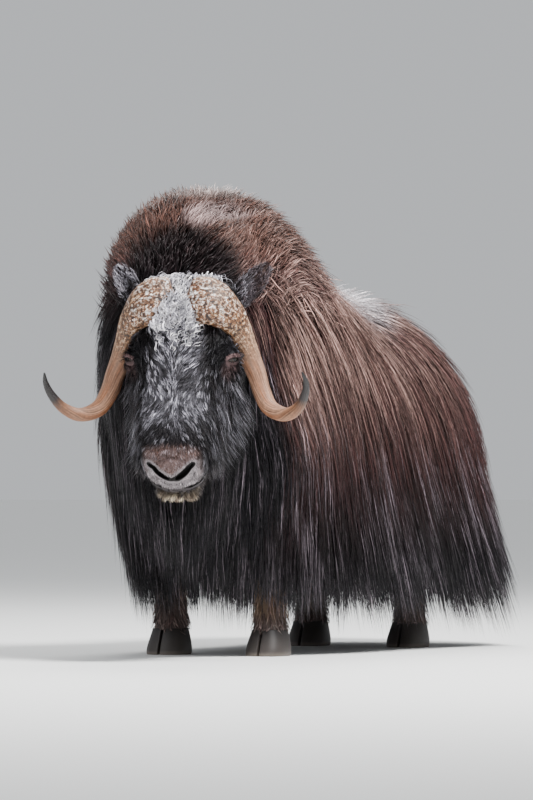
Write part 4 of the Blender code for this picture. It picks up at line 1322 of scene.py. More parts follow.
def face_shades(x, y, z, bleach, streak):
    """Grey-white hair down the middle of the face, dark hair on its sides."""
    shade = colours()
    wide = np.abs(x)
    profile = np.interp(y, (-0.48, -0.445, -0.415, -0.385, -0.33, -0.28, -0.22, -0.15, -0.05),
                        (0.06, 0.12, 0.40, 0.72, 0.62, 0.52, 0.58, 0.95, 1.0))
    reach = np.interp(y, (-0.45, -0.36, -0.28, -0.20, -0.10), (0.100, 0.118, 0.098, 0.082, 0.080))
    light = profile * smooth(wide, reach, reach - 0.045) * smooth(z, -0.11, -0.04)
    stray = 0.26 * smooth(bleach, 0.42, 0.78) * (1 - light)
    tint = mixed(shade.face_dark, shade.face_light, light * (0.10 + 0.90 * streak) + stray)
    cheek = smooth(-z, 0.03, 0.09) * smooth(y, -0.22, -0.30)
    return mixed(tint, shade.face_light, 0.30 * cheek * streak)


def eye_shades(tint, x, y, z, streak):
    """Black round the eyes, their lids with painted highlight and shade, the brown hollow below, pale
    hair beside the horns.
    """
    shade = colours()
    wide = np.abs(x)
    away = eye_gap(x, y, z)
    near = np.sqrt((wide - EYE_PLACE.x + 0.02) ** 2 + (y - EYE_PLACE.y) ** 2
                   + (z - EYE_PLACE.z - 0.01) ** 2)
    tint = mixed(tint, shade.coat_black, 0.84 * smooth(near, 0.082, 0.050))
    tint = mixed(tint, shade.coat_black, 0.9 * smooth(away, 0.042, 0.036))
    edge, above = lid_edge(np.stack([wide, y, z], axis=1))
    reach = 1.5 + 0.7 * smooth(above, 0.001, 0.006)
    rims = smooth(edge, reach, reach - 0.4) * smooth(away, 0.036, 0.032)
    # bare lids, the upper one lighter than the lower as a painted highlight
    tint = mixed(tint, shade.lid, rims * (0.30 + 0.70 * smooth(above, -0.001, 0.004)))
    # painted shade along the slit between the lids
    tint = mixed(tint, CREASE_SHADE, smooth(edge, 1.05, 0.9))
    under = np.sqrt((wide - 0.138) ** 2 + (y + 0.240) ** 2 + (z + 0.066) ** 2)
    tint = mixed(tint, shade.lid, (0.25 + 0.55 * streak) * smooth(under, 0.040, 0.018))
    beside = horn_gap(np.stack([x, y, z], axis=1))
    return mixed(tint, shade.face_light, 0.50 * streak * smooth(beside, 0.016, 0.006)
                 * smooth(y, -0.120, -0.150) * smooth(y, -0.290, -0.240) * smooth(wide, 0.10, 0.13))


def muzzle_shades(tint, x, y, z, bleach, streak):
    """Brown nose, pale lips, the dark line of the mouth with painted shade along it, the beard, and
    painted shade in the nostrils.
    """
    shade = colours()
    wide = np.abs(x)
    top = smooth(y, -0.474, -0.499) * smooth(z, -0.110, -0.080)
    nose = mixed(shade.muzzle, shade.face_light, 0.36 * streak)
    nose = mixed(nose, shade.face_dark, 0.65 * smooth(bleach, 0.30, 0.10))
    tint = mixed(tint, nose, top * smooth(wide, 0.090, 0.066))
    rim, below = slot_distance(np.stack([wide, y, z], axis=1))
    pale = mixed(shade.face_dark, shade.lips, 0.20 + 0.80 * smooth(bleach, 0.05, 0.45))
    fringe = smooth(rim, 0.023, 0.014) * smooth(y, -0.482, -0.505)
    under = smooth(below, 0.0, 0.004) * smooth(y, -0.500, -0.515) * smooth(wide, 0.086, 0.064)
    lips = smooth(y, -0.503, -0.532) * smooth(z, -0.093, -0.103) * smooth(wide, 0.080, 0.060)
    tint = mixed(tint, pale, np.maximum(fringe, np.maximum(under, lips)))
    line = z - MOUTH_MIDDLE - 0.6 * x * x
    tint = mixed(tint, mixed(shade.face_dark, shade.lips, 0.08 + 0.2 * streak),
                 smooth(line, -0.003, -0.006) * smooth(y, -0.48, -0.51))
    # painted shade along the line of the mouth
    tint = mixed(tint, CREASE_SHADE, smooth(np.abs(line - 0.0015), 0.0085, 0.0065)
                 * smooth(y, MOUTH_CORNER - 0.01, MOUTH_CORNER - 0.03))
    beard = mixed(shade.coat_brown, shade.chin, 0.25 + 0.75 * streak)
    tint = mixed(tint, beard, on_chin(x, y, z))
    # painted shade deep in the nostrils
    return mixed(tint, NOSTRIL_SHADE, smooth(rim, 0.0125, 0.0105))


def head_tint(place, bleach, tip):
    """Colour of the face: grey-white down the middle, dark round the eyes, pale lips."""
    x, y, z = to_frame(place, TO_HEAD).T
    streak = smooth(bleach, 0.12, 0.62)
    tint = face_shades(x, y, z, bleach, streak)
    tint = eye_shades(tint, x, y, z, streak)
    return muzzle_shades(tint, x, y, z, bleach, streak)


def on_muzzle(place):
    """Share of velvety hair at places on the head: all of it on the nose and lips."""
    return smooth(place[:, 1], -0.468, -0.492) * (1 - on_chin(*place.T))


def on_chin(x, y, z):
    """Share of the beard under the lower lip at a place on the head."""
    return (smooth(np.asarray(z), -0.143, -0.155) * smooth(np.asarray(y), -0.470, -0.505)
            * smooth(np.abs(x), 0.066, 0.046))


def slot_distance(place):
    """Distance from a nostril's middle line, counted less along its depth, and how far below it."""
    along = NOSTRIL_OUTER - NOSTRIL_INNER
    turn = aimed(along, Vector((1, 0, 0))).to_3x3()
    deep, down = np.array(turn.col[0]), np.array(turn.col[1])
    best = np.full(len(place), 1.0)
    below = np.zeros(len(place))
    for share in np.linspace(0, 1, 12):
        away = place - np.array(nostril_line(share))
        depth = away @ deep
        flat = np.sum(away ** 2, axis=1) - depth ** 2
        # the slot is widest near its inner end
        width = 1 - 0.25 * (1 - 2 * share)
        one = np.sqrt(flat + (depth * NOSTRIL_HALF / NOSTRIL_DEPTH) ** 2) / width
        below = np.where(one < best, away @ down, below)
        best = np.minimum(best, one)
    return best, below


def leg_tint(place, bleach, tip):
    """Colour of the legs: dark above, greyish shanks, a yellowish sleeve on the left foreleg."""
    shade = colours()
    x, y, z = on_body(place).T
    tint = mixed(shade.coat_brown, shade.stocking, smooth(z, 0.30, 0.20) * (0.15 + 0.6 * bleach))
    tint = mixed(tint, shade.coat_black, smooth(z, 0.26, 0.40))
    sleeve = smooth(z, 0.08, 0.14) * smooth(z, 0.30, 0.20) * smooth(x, 0.0, 0.1) * smooth(y, 0.1, 0.0)
    return mixed(tint, shade.sleeve, 0.7 * sleeve * bleach)


def ear_tint(place, bleach, tip):
    """Colour of the ears: the left one dark with grey rims, the right one grey."""
    shade = colours()
    x = to_frame(place, TO_HEAD)[:, 0]
    grey = np.where(x > 0, 0.01 + 0.14 * bleach + 0.60 * bleach * smooth(x, 0.190, 0.150),
                    0.22 + 0.70 * bleach)
    brown = mixed(shade.coat_black, shade.coat_brown, 0.45)
    return mixed(brown, shade.face_light, grey)


def body_part(place):
    """Which part of the skin each place belongs to, by number: trunk, neck, head, ear, leg."""
    local = on_body(place)
    x, y, z = to_frame(place, TO_HEAD).T
    part = np.where(local[:, 2] < 0.38, 4, 0)
    part = np.where((local[:, 1] < -0.38 + NECK_SLANT * local[:, 0]) & (part == 0), 1, part)
    on_head = (y < 0.055) & (z > -0.34) & (np.abs(x) < 0.19) & (local[:, 1] < -0.52)
    part = np.where(on_head & (part < 4), 2, part)
    return np.where((np.abs(x) > 0.150) & (y > -0.08) & on_head, 3, part)


def skin_tint(place):
    """Colour of the skin, with the coat's own markings and painted shade under the hair."""
    half = np.full(len(place), 0.35)
    part = body_part(place)
    tint = trunk_tint(place, half, half)
    for number, rule in ((1, neck_tint), (2, head_tint), (3, ear_tint), (4, leg_tint)):
        tint = np.where((part == number)[:, None], rule(place, half, half), tint)
    # painted shade that the hair above casts on its own roots, lighter on the bare muzzle and lids
    x, y, z = to_frame(place, TO_HEAD).T
    lids_bare = smooth(eye_gap(x, y, z), 0.040, 0.030)
    bare = (part == 2) * np.maximum(0.3 * smooth(y, -0.49, -0.52), lids_bare)
    bare = np.maximum(bare, (part == 2) * smooth(y, -0.17, -0.13) * smooth(np.abs(x), 0.07, 0.05))
    return tint * (0.5 + 0.5 * bare)[:, None]


# Pieces

def place_piece(piece, material, node_slot, *nodes):
    """Give a piece its material, its ride and the nodes it stands for; its node slot is not used."""
    piece.data.materials.clear()
    piece.data.materials.append(material)
    piece.data.shade_smooth()
    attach(piece, "root")
    if nodes:
        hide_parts(*nodes)
    return piece


FLESH = ("head", "neck", "shoulder_left", "shoulder_right", "flank_left", "flank_right",
         "rump_left", "rump_right", "ear_left", "ear_right", "leg_front_left",
         "leg_front_right", "leg_hind_left", "leg_hind_right", "tail")


class MUSKOX_OT_skin(bpy.types.Operator):
    """Model the skin from nose to tail in one piece"""
    bl_idname = "muskox.skin"
    bl_label = "Skin"

    def execute(self, context):
        depth = sizes().skin_depth
        skin = set_down(trunk_shape(depth, 60, 56))
        neck = set_down(neck_shape(depth, 24, 48))
        legs = [leg_shape(place, side) for place, side, _ in LEGS]
        head = head_shape()
        ears = [ear_shape(side) for side, _ in SIDES]
        tail = tail_shape()
        made["legs"] = [keep_copy(leg) for leg in legs]
        made["head"] = keep_copy(head)
        made["ears"] = [keep_copy(ear) for ear in ears]
        made["tail"] = keep_copy(tail)
        boolean(skin, "UNION", [neck, *legs, head, *ears, tail])
        skin.name = "skin"
        skin.data.name = "skin"
        paint(skin.data, skin_tint(positions(skin)))
        place_piece(skin, hide_material(), "face_hair", *FLESH)
        made["wool"], made["wool_tree"] = wool_tree()
        return {"FINISHED"}


def keep_copy(thing):
    """A hidden working copy of a shape, to grow hair on."""
    return bpy.data.objects.new(thing.name + "_ground", thing.data.copy())


def tree_of(thing):
    """Search tree over an object's mesh."""
    shape = bmesh.new()
    shape.from_mesh(thing.data)
    tree = BVHTree.FromBMesh(shape)
    shape.free()
    return tree


def hem(y):
    """Height over the floor where the coat ends: lowest at the rear."""
    return np.interp(y, (-0.45, -0.3, 0.3, 0.9), (0.100, 0.085, 0.055, 0.020))


def coat_length(local):
    """How long the hair is at a place on the trunk: plush on the hump, short on the saddle."""
    x, y, z = local
    high = float(np.interp(z, (0.75, 1.0, 1.25), (0.46, 0.36, 0.26)))
    high += (PLUSH - high) * float(on_hump(y, z))
    high += (SADDLE_HAIR - high) * float(on_saddle(x, y, share_up(y, z)))
    high += (PATCH_HAIR - high) * float(on_patch(x, y, z))
    return min(high, z - float(hem(y)))


def hair_room():
    """Lowest and highest corner of the room that hair may take round the solids."""
    low, high = (np.array(corner) for corner in CAD_BOX)
    spare = ROOM_SHARE * (high - low) + ROOM_SPARE
    return (*(low - spare)[:2], HAIR_END), high + spare


def grow(name, root, guides, tint_rule, chart, node_slot, draw, raise_by=1.0, half=None,
         rise=TUFT_RISE, lift=(0.15, 1.0), clump=(0.2, 0.6), wave=0.004, steps=5,
         reach=(0.72, 1.0), curls=1.6, spread_tips=0.006, lock_share=0.35, coil=0.0):
    """Tufts from roots along guides, as one piece."""
    count = len(root)
    pull = draw.uniform(clump[0], clump[1], count)
    far = draw.uniform(reach[0], reach[1], count)
    path, out, lock = guides.follow(root, steps, pull, far)
    at = np.linspace(0, 1, steps)
    heights = np.interp(at, [row[0] for row in rise], [row[1] for row in rise])
    stand = draw.uniform(lift[0], lift[1], count) * (1 + 0.5 * draw.random(count) ** 9) * raise_by
    raised = np.where(heights[None] < 0, heights[None], heights[None] * stand[:, None])
    path = path + out * raised[:, :, None]
    ahead = unit(np.gradient(path, axis=1))
    across = unit(np.cross(ahead, out))
    phase = draw.uniform(0, 2 * math.pi, count)
    turns = curls * draw.uniform(0.7, 1.4, count)
    swing = phase[:, None] + turns[:, None] * 2 * math.pi * at[None]
    drift = draw.normal(0, spread_tips, count)[:, None] * at[None] ** 2
    path = path + across * (np.sin(swing) * wave * at[None] ** 0.7 + drift)[:, :, None]
    path = path + out * (np.cos(swing) * coil * at[None] ** 0.5)[:, :, None]
    path = np.clip(path, *hair_room())
    base = sizes().tuft_half if half is None else half
    widths = (base * draw.uniform(0.6, 1.35, count))[:, None] * np.interp(
        at, (0, 0.3, 0.7, 1.0), (0.75, 1.0, 0.8, 0.0))[None]
    tone = draw.beta(0.8, 1.5, len(guides.line))[lock]
    bleach = draw.beta(0.8, 1.6, count) * (1 - lock_share) + tone * lock_share
    bright = np.exp(draw.normal(0, TUFT_CONTRAST, count)
                    + draw.normal(0, LOCK_CONTRAST, len(guides.line))[lock])
    tint = np.empty((count, steps, 3))
    for i, share in enumerate(at):
        one = tint_rule(path[:, i], bleach, np.full(count, share))
        tint[:, i] = one * (bright * (ROOT_SHADE + TIP_GAIN * share))[:, None]
    return tufts(name, path, out, widths, widths * TUFT_FLATNESS, tint, unwrap(chart, root),
                 made["hair"], node_slot)


class MUSKOX_OT_coat(bpy.types.Operator):
    """Grow the long guard hair of the trunk"""
    bl_idname = "muskox.coat"
    bl_label = "Long coat"

    def execute(self, context):
        draw = np.random.default_rng(11)
        wool, tree = made["wool"], made["wool_tree"]
        made["hair"] = hair_material()

        def wanted(place, normal):
            x, y, z = on_body(place).T
            return ((y > -0.40 + NECK_SLANT * x) & (z > 0.42)).astype(float)

        guides = guides_on(wool, tree, 9000, wanted, draw, trunk_guide, sizes().guide_step)
        spans = {"shoulder": (-0.45, SHOULDER_END), "flank": (SHOULDER_END, FLANK_END),
                 "rump": (FLANK_END, 1.2)}
        for part, (front, back) in spans.items():
            for side, word in SIDES:
                def here(place, normal):
                    x, y, z = on_body(place).T
                    share = (y > front) & (y <= back) & (x * side >= 0) & (z > 0.41)
                    dense = 0.8 + 0.5 * (z < 0.8)
                    dense *= 1 - 0.8 * on_hump(y, z)
                    return share * wanted(place, normal) * dense

                count = sizes().shoulder_tufts if part == "shoulder" else sizes().coat_tufts
                root, _ = scatter(wool, count, here, draw)
                grow(f"coat_{part}_{word}", root, guides, trunk_tint, "trunk", "brown_coat", draw)
        return {"FINISHED"}


def clamped(value):
    """A value held between -1 and 1."""
    return max(-1.0, min(1.0, value))


def neck_middle(y):
    """How far to the bull's left the middle of the neck lies, which turns with the head."""
    return np.interp(-y, (0.38, 0.68), (0.018, 0.158))


def trunk_guide(tree, root, normal, draw):
    """One guide line on the trunk, with its own small sway."""
    sway = draw.normal(0, 0.05, 2)

    def lie_at(here, out):
        side = clamped((here.x - OFFSET.x) / 0.07)
        back = float(np.interp(here.y - OFFSET.y, (-0.3, 0.2, 0.9), (0.35, 0.55, 0.45)))
        flat = max(out.z, 0.0)
        return Vector((COAT_LIE[0] * side + sway[0], COAT_LIE[1] + back * flat + sway[1],
                       COAT_LIE[2]))

    local = on_body(root)
    length = coat_length(local) * draw.uniform(0.86, 1.10)
    return trace(tree, root, normal, length, lie_at)


class MUSKOX_OT_mane(bpy.types.Operator):
    """Grow the mane of the neck and chest"""
    bl_idname = "muskox.mane"
    bl_label = "Mane"

    def execute(self, context):
        draw = np.random.default_rng(12)
        wool, tree = made["wool"], made["wool_tree"]

        def wanted(place, normal):
            x, y, z = on_body(place).T
            ahead = y <= -0.36 + NECK_SLANT * x
            inside = to_frame(place, TO_HEAD)
            covered = (inside[:, 1] < 0.03) & (np.abs(inside[:, 0]) < 0.14) & (inside[:, 2] > -0.25)
            return (ahead & ~covered & (z > 0.44)).astype(float)

        guides = guides_on(wool, tree, 4000, wanted, draw, neck_guide, sizes().guide_step * 0.9)
        for side, word in SIDES:
            def here(place, normal):
                x, y, z = on_body(place).T
                dense = 1 - 0.8 * on_hump(y, z)
                return wanted(place, normal) * ((x - neck_middle(y)) * side >= 0) * dense

            root, _ = scatter(wool, sizes().mane_tufts, here, draw)
            grow(f"mane_{word}", root, guides, neck_tint, "neck", "dark_coat", draw,
                 half=MANE_HALF, lift=(0.1, 0.85))
        return {"FINISHED"}


def neck_guide(tree, root, normal, draw):
    """One guide line on the neck."""
    sway = draw.normal(0, 0.05, 2)

    def lie_at(here, out):
        middle = float(neck_middle(here.y - OFFSET.y))
        side = clamped((here.x - OFFSET.x - middle) / 0.06)
        up = float(smooth(here.z, 1.00, 1.12))
        down = Vector((NECK_LIE[0] * side + sway[0], NECK_LIE[1] + sway[1], NECK_LIE[2]))
        return down.lerp(Vector((0.7 * side + sway[0], 0.5 + sway[1], 1.0)), up)

    local = on_body(root)
    reach = float(np.interp(local[2], (0.5, 0.8, 0.98, 1.10), (0.34, 0.42, 0.26, 0.085)))
    reach += (PATCH_HAIR - reach) * float(on_patch(*local))
    end = 0.14 + 0.07 * float(smooth(local[0], 0.08, -0.10))
    length = min(reach, local[2] - end) * draw.uniform(0.85, 1.10)
    return trace(tree, root, normal, length, lie_at)


class MUSKOX_OT_hump(bpy.types.Operator):
    """Grow the short plush hair on top of the hump and behind the horns"""
    bl_idname = "muskox.hump"
    bl_label = "Hump"

    def execute(self, context):
        draw = np.random.default_rng(17)
        wool, tree = made["wool"], made["wool_tree"]

        def wanted(place, normal):
            x, y, z = on_body(place).T
            inside = to_frame(place, TO_HEAD)
            covered = (inside[:, 1] < 0.0) & (np.abs(inside[:, 0]) < 0.12) & (inside[:, 2] > -0.25)
            return on_hump(y, z) * ~covered * (1 - 0.75 * on_patch(x, y, z))

        guides = guides_on(wool, tree, 6000, wanted, draw, plush_guide, PLUSH_STEP)
        for side, word in SIDES:
            def here(place, normal):
                return wanted(place, normal) * ((place[:, 0] - OFFSET.x) * side >= -0.02)

            root, _ = scatter(wool, sizes().plush_tufts, here, draw)
            low = 1 - 0.6 * on_patch(*on_body(root).T)
            grow(f"plush_{word}", root, guides, neck_tint, "trunk", "brown_coat", draw,
                 raise_by=low, half=PLUSH_HALF, lift=(0.3, 0.9), steps=4, wave=0.003,
                 clump=(0.1, 0.5), curls=0.8, spread_tips=0.007)
        return {"FINISHED"}


def plush_guide(tree, root, normal, draw):
    """One short guide line on the hump: up and back behind the horns, down and out on the sides."""
    sway = draw.normal(0, 0.16, 3)

    def lie_at(here, out):
        local = here - OFFSET
        side = clamped((local.x - 0.05) / 0.12)
        up = float(smooth(local.y, -0.10, -0.30))
        down = Vector((0.5 * side, 0.5, -1.0))
        return down.lerp(Vector((0.8 * side, 0.5, 1.0)), up) + Vector(sway)

    local = on_body(root)
    length = PLUSH + (PATCH_HAIR - PLUSH) * float(on_patch(*local))
    return trace(tree, root, normal, length * draw.uniform(0.8, 1.2), lie_at, steps=5, hangs=False)


FACE_RISE = ((0.0, -0.003), (0.3, 0.004), (1.0, 0.008))
DOWN_ON_HEAD = (0.0, -0.927, -0.375)


def face_lie(x, y, z):
    """Lie of the hair on the head, in its own frame."""
    wide = abs(x)
    side = math.copysign(1.0, x)
    draw_in = float(np.interp(y, (-0.46, -0.37, -0.33, -0.22, -0.12, -0.02),
                              (0.25, 0.55, -0.7, -0.8, -0.25, 0.1)))
    on_face = (float(np.interp(wide, (0.07, 0.13), (1.0, 0.0)))
               * float(np.interp(z, (-0.09, -0.03), (0, 1))))
    lie = Vector(DOWN_ON_HEAD)
    lie.x += on_face * draw_in * side * min(wide / 0.03, 1.0)
    around = Vector((x - side * EYE_PLACE.x, y - EYE_PLACE.y, z - EYE_PLACE.z))
    if around.length < 0.06:
        lie = lie * 0.6 + around.normalized() * 0.8
    return lie


def on_cheek(x, y, z):
    """Share of long cheek hair at a place on the head."""
    return (smooth(-np.asarray(z), 0.035, 0.10)
            * np.interp(y, (-0.53, -0.46, -0.27, -0.20), (0.05, 1.0, 1.0, 0.25)))


def face_length(x, y, z):
    """Length of the hair on the head."""
    length = float(np.interp(y, (-0.52, -0.485, -0.43, -0.25, -0.10, 0.0),
                             (0.006, 0.014, 0.026, 0.036, 0.042, 0.055)))
    jaw = float(np.interp(y, (-0.53, -0.43, -0.25), (0.02, 0.10, 0.13)))
    length += (jaw - length) * float(on_cheek(x, y, z))
    length += (BEARD - length) * float(on_chin(x, y, z))
    return length * float(np.interp(eye_gap(x, y, z), (0.034, 0.075), (0.22, 1.0)))


def horn_gap(place, girth=1.0):
    """Distance of places on the head from the horn on their side."""
    left = np.abs(place * (1, 0, 0)) + place * (0, 1, 1)
    gap = np.full(len(place), 1.0)
    for row in spread(HORN, 24)[:14]:
        gap = np.minimum(gap, np.linalg.norm(left - row[:3], axis=1) - row[3] * girth)
    return gap


def face_ground(place, normal):
    """Where hair grows on the head: not on the lids, nostrils and lips, nor under the horns."""
    local = to_frame(place, TO_HEAD)
    x, y, z = local.T
    wide = np.abs(x)
    left = np.stack([wide, y, z], axis=1)
    bare = (lid_edge(left)[0] < 1.35) & (eye_gap(x, y, z) < 0.036)
    bare |= slot_distance(left)[0] < 0.0145
    bare |= (np.abs(z - MOUTH_MIDDLE) < 0.010) & (y < MOUTH_CORNER)
    share = np.interp(z, (-0.20, -0.08), (0.6, 1.0)) * (1 + 4 * on_chin(x, y, z))
    clear = (horn_gap(local, 0.84) > 0) | (wide < 0.016)
    return share * ~bare * clear * (y < 0.03)


def nose_ground(place, normal):
    """Where velvety hair grows on the nose and lips."""
    return face_ground(place, normal) * on_muzzle(to_frame(place, TO_HEAD))


def fleece_ground(place, normal):
    """Where fleece grows on the head, between the bosses and behind them."""
    x, y, z = to_frame(place, TO_HEAD).T
    edge = np.interp(-y, (-0.02, 0.05, 0.10, 0.17), (0.080, 0.034, 0.070, 0.070))
    dense = np.interp(-y, (0.03, 0.12, 0.20), (1.0, 0.5, 0.0))
    return dense * ((np.abs(x) < edge) & (y > -0.20) & (y < 0.035) & (z > -0.06))


def boss_ground(place, normal):
    """Where fleece spreads over the inner edges of the bosses."""
    x, y, z = to_frame(place, TO_HEAD).T
    left = np.interp(-y, FLEECE_AT, FLEECE_LEFT)
    right = np.interp(-y, FLEECE_AT, FLEECE_RIGHT)
    return ((x < left) & (x > -right) & (y > -0.16) & (z > 0.0)).astype(float)


class MUSKOX_OT_face(bpy.types.Operator):
    """Grow the short hair of the face, the fleece between the horns and the beard"""
    bl_idname = "muskox.face"
    bl_label = "Face hair"

    def execute(self, context):
        draw = np.random.default_rng(13)
        head = made["head"]
        guides = guides_on(head, tree_of(head), 14000, face_ground, draw, head_guide, FACE_STEP)
        for side, word in SIDES:
            def here(place, normal):
                inside = to_frame(place, TO_HEAD)
                return face_ground(place, normal) * (inside[:, 0] * side >= 0) * (1 - on_muzzle(inside))

            root, _ = scatter(head, sizes().face_tufts, here, draw)
            raised = 1 + 3.2 * on_cheek(*to_frame(root, TO_HEAD).T)
            grow(f"face_hair_{word}", root, guides, head_tint, "head", "face_hair", draw,
                 raise_by=raised, half=FACE_HALF, rise=FACE_RISE, lift=(0.4, 1.5),
                 clump=(0.45, 0.95), wave=0.0016, steps=4, reach=(0.7, 1.0), curls=1.1,
                 spread_tips=0.0015, lock_share=0.75)
        root, _ = scatter(head, MUZZLE_TUFTS, nose_ground, draw)
        grow("muzzle_hair", root, guides, head_tint, "head", "face_hair", draw, half=MUZZLE_HALF,
             rise=((0.0, -0.002), (0.5, 0.0022), (1.0, 0.0045)), lift=(0.5, 1.2),
             clump=(0.0, 0.3), wave=0.0003, steps=3, reach=(0.75, 1.1), curls=0.5,
             spread_tips=0.0008, lock_share=0.5)
        root, _ = scatter(head, FLEECE_TUFTS, fleece_ground, draw)
        for horn in made["horns"]:
            root = np.vstack([root, scatter(horn, BOSS_TUFTS, boss_ground, draw)[0]])
        grow("fleece", root, guides, fleece_tint, "head", "face_hair", draw, half=0.0017,
             rise=((0.0, -0.003), (0.3, 0.012), (0.7, 0.020), (1.0, 0.016)), lift=(0.4, 1.2),
             clump=(0.3, 0.9), wave=0.0060, steps=10, reach=(0.5, 0.95), curls=1.0,
             spread_tips=0.004, lock_share=0.6, coil=0.0050)
        return {"FINISHED"}


def fleece_tint(place, bleach, tip):
    """Colour of the curly fleece between the horns."""
    shade = colours()
    light = mixed(shade.face_light, shade.fleece, bleach)
    return light * (0.60 + 0.72 * smooth(bleach, 0.05, 0.45))[:, None]


def head_guide(tree, root, normal, draw):
    """One short guide line on the head."""
    sway = draw.normal(0, 0.08, 3)

    def lie_at(here, out):
        local = TO_HEAD @ here
        return TO_BULL.to_3x3() @ (face_lie(*local) + Vector(sway))

    local = TO_HEAD @ Vector(root)
    length = max(face_length(*local), 0.005) * draw.uniform(0.85, 1.15)
    hangs = length > 0.07 or on_chin(*local) > 0.3
    return trace(tree, root, normal, length, lie_at, steps=6, hangs=hangs, lean=0.30)


class MUSKOX_OT_ears(bpy.types.Operator):
    """Grow the hair of the ears"""
    bl_idname = "muskox.ears"
    bl_label = "Ear hair"

    def execute(self, context):
        draw = np.random.default_rng(14)
        for (side, word), ear in zip(SIDES, made["ears"]):
            along = turned(np.array((EAR_TIP - EAR_ROOT) * mirrored(side)), TO_BULL)

            def guide(tree, root, normal, draw):
                return trace(tree, root, normal, draw.uniform(0.016, 0.034),
                             lambda here, out: Vector(along) + Vector((0, 0, -0.02)), steps=5,
                             hangs=False)

            guides = guides_on(ear, tree_of(ear), 700, lambda p, n: np.ones(len(p)), draw, guide)
            root, _ = scatter(ear, 600, lambda p, n: np.ones(len(p)), draw)
            grow(f"ear_hair_{word}", root, guides, ear_tint, f"ear_{word}", "dark_coat", draw,
                 half=0.0013, rise=((0.0, -0.002), (0.4, 0.003), (1.0, 0.007)),
                 lift=(0.3, 1.3), wave=0.002)
        return {"FINISHED"}


class MUSKOX_OT_legs(bpy.types.Operator):
    """Grow the short hair of the legs"""
    bl_idname = "muskox.legs"
    bl_label = "Leg hair"

    def execute(self, context):
        draw = np.random.default_rng(15)
        for number, leg in enumerate(made["legs"]):
            def wanted(place, normal):
                return ((place[:, 2] < 0.42) & (place[:, 2] > 0.078)).astype(float)

            def guide(tree, root, normal, draw):
                length = np.interp(root[2], (0.08, 0.16, 0.4), (0.026, 0.065, 0.14))
                return trace(tree, root, normal, length, lambda here, out: Vector((0, 0.15, -1)),
                             steps=5, hangs=False)

            guides = guides_on(leg, tree_of(leg), 500, wanted, draw, guide)
            root, _ = scatter(leg, sizes().leg_tufts, wanted, draw)
            grow(f"leg_hair_{number + 1}", root, guides, leg_tint, f"leg_{number}", "leg_hair",
                 draw, half=0.0022, rise=((0.0, -0.003), (0.4, 0.003), (1.0, 0.009)),
                 lift=(0.3, 1.4), wave=0.002)
        return {"FINISHED"}


class MUSKOX_OT_tail(bpy.types.Operator):
    """Grow the hair of the tail"""
    bl_idname = "muskox.tail"
    bl_label = "Tail hair"

    def execute(self, context):
        draw = np.random.default_rng(16)
        tail = made["tail"]

        def wanted(place, normal):
            return (place[:, 1] - OFFSET.y > 1.03).astype(float)

        def guide(tree, root, normal, draw):
            return trace(tree, root, normal, 0.17, lambda here, out: Vector((0, 0.1, -1)), steps=7,
                         lean=0.1)

        guides = guides_on(tail, tree_of(tail), 200, wanted, draw, guide)
        root, _ = scatter(tail, 900, wanted, draw)
        grow("tail_hair", root, guides, trunk_tint, "tail", "dark_coat", draw,
             half=0.0014, rise=((0.0, -0.003), (0.3, 0.008), (1.0, 0.016)), spread_tips=0.012)
        return {"FINISHED"}


# Horns, eyes and hooves

def horn_piece(side):
    """One horn as a fine loft, rough on the boss and fluted along its lower edge."""
    count, ring = 150, 44
    rows = spread(HORN, count)
    rings = []
    lengths = [0.0]
    for i, (row, centre, ahead) in enumerate(course(rows)):
        outward = centre - Vector((0.0, centre.y, -HEAD_MIDDLE))
        breadth = ahead.cross(outward).normalized()
        rise = breadth.cross(ahead).normalized()
        section = oval(ring, row[3], row[4], -row[4], 0.0, 2.1, 2.1)
        rings.append([centre + breadth * x + rise * z for x, z in section])
        if i:
            lengths.append(lengths[-1] + (centre - Vector(rows[i - 1][:3])).length)
    horn = loft(f"horn_piece_{side}", rings)
    share = np.repeat(np.array(lengths) / lengths[-1], ring)
    angle = np.tile(np.arange(ring) / ring, count)
    place = positions(horn)
    normal = np.empty(len(place) * 3)
    horn.data.vertices.foreach_get("normal", normal)
    normal = normal.reshape(-1, 3)
    boss = smooth(share, 0.42, 0.18)
    lump = ripple(place, (61, 53, 47), 0.3) + 0.6 * ripple(place, (131, 113, 149), 1.7)
    crack = np.abs(ripple(place, (211, 173, 197), 2.9)) ** 0.5
    flute = np.cos(angle * 2 * math.pi * 17) * smooth(share, 0.10, 0.25) * smooth(share, 0.85, 0.5)
    raised = boss * (0.0016 * lump - 0.0010 * (1 - crack)) + 0.00045 * flute
    set_positions(horn, place + normal * raised[:, None])
    add_value(horn.data, "along", share)
    corner = np.empty(len(horn.data.loops), np.int32)
    horn.data.loops.foreach_get("vertex_index", corner)
    around = 0.5 - np.abs(angle - 0.5)
    flat = np.stack([around * 46.0, share * 5.0], axis=1)
    add_map(horn.data, "grain", flat, corner)
    if side < 0:
        horn.data.transform(Matrix.Diagonal((-1, 1, 1, 1)))
        horn.data.flip_normals()
    horn.data.transform(TO_BULL)
    return horn


def ripple(place, pace, phase):
    """Uneven waves over a surface, from -1 to 1."""
    x, y, z = np.asarray(place).T
    a = np.sin(x * pace[0] + 1.7 * np.sin(y * pace[1] + phase) + phase)
    b = np.sin(y * pace[1] + 1.3 * np.sin(z * pace[2] + 2 * phase) + 2.1)
    c = np.sin(z * pace[2] + 1.9 * np.sin(x * pace[0] + 3 * phase) + 0.4)
    return (a + b + c) / 3


class MUSKOX_OT_horns(bpy.types.Operator):
    """Model both horns with their bosses"""
    bl_idname = "muskox.horns"
    bl_label = "Horns"

    def execute(self, context):
        material = horn_material()
        made["horns"] = []
        for side, word in SIDES:
            horn = horn_piece(side)
            horn.name = f"horn_keratin_{word}"
            made["horns"].append(horn)
            place_piece(horn, material, "horn", f"horn_{word}")
        return {"FINISHED"}


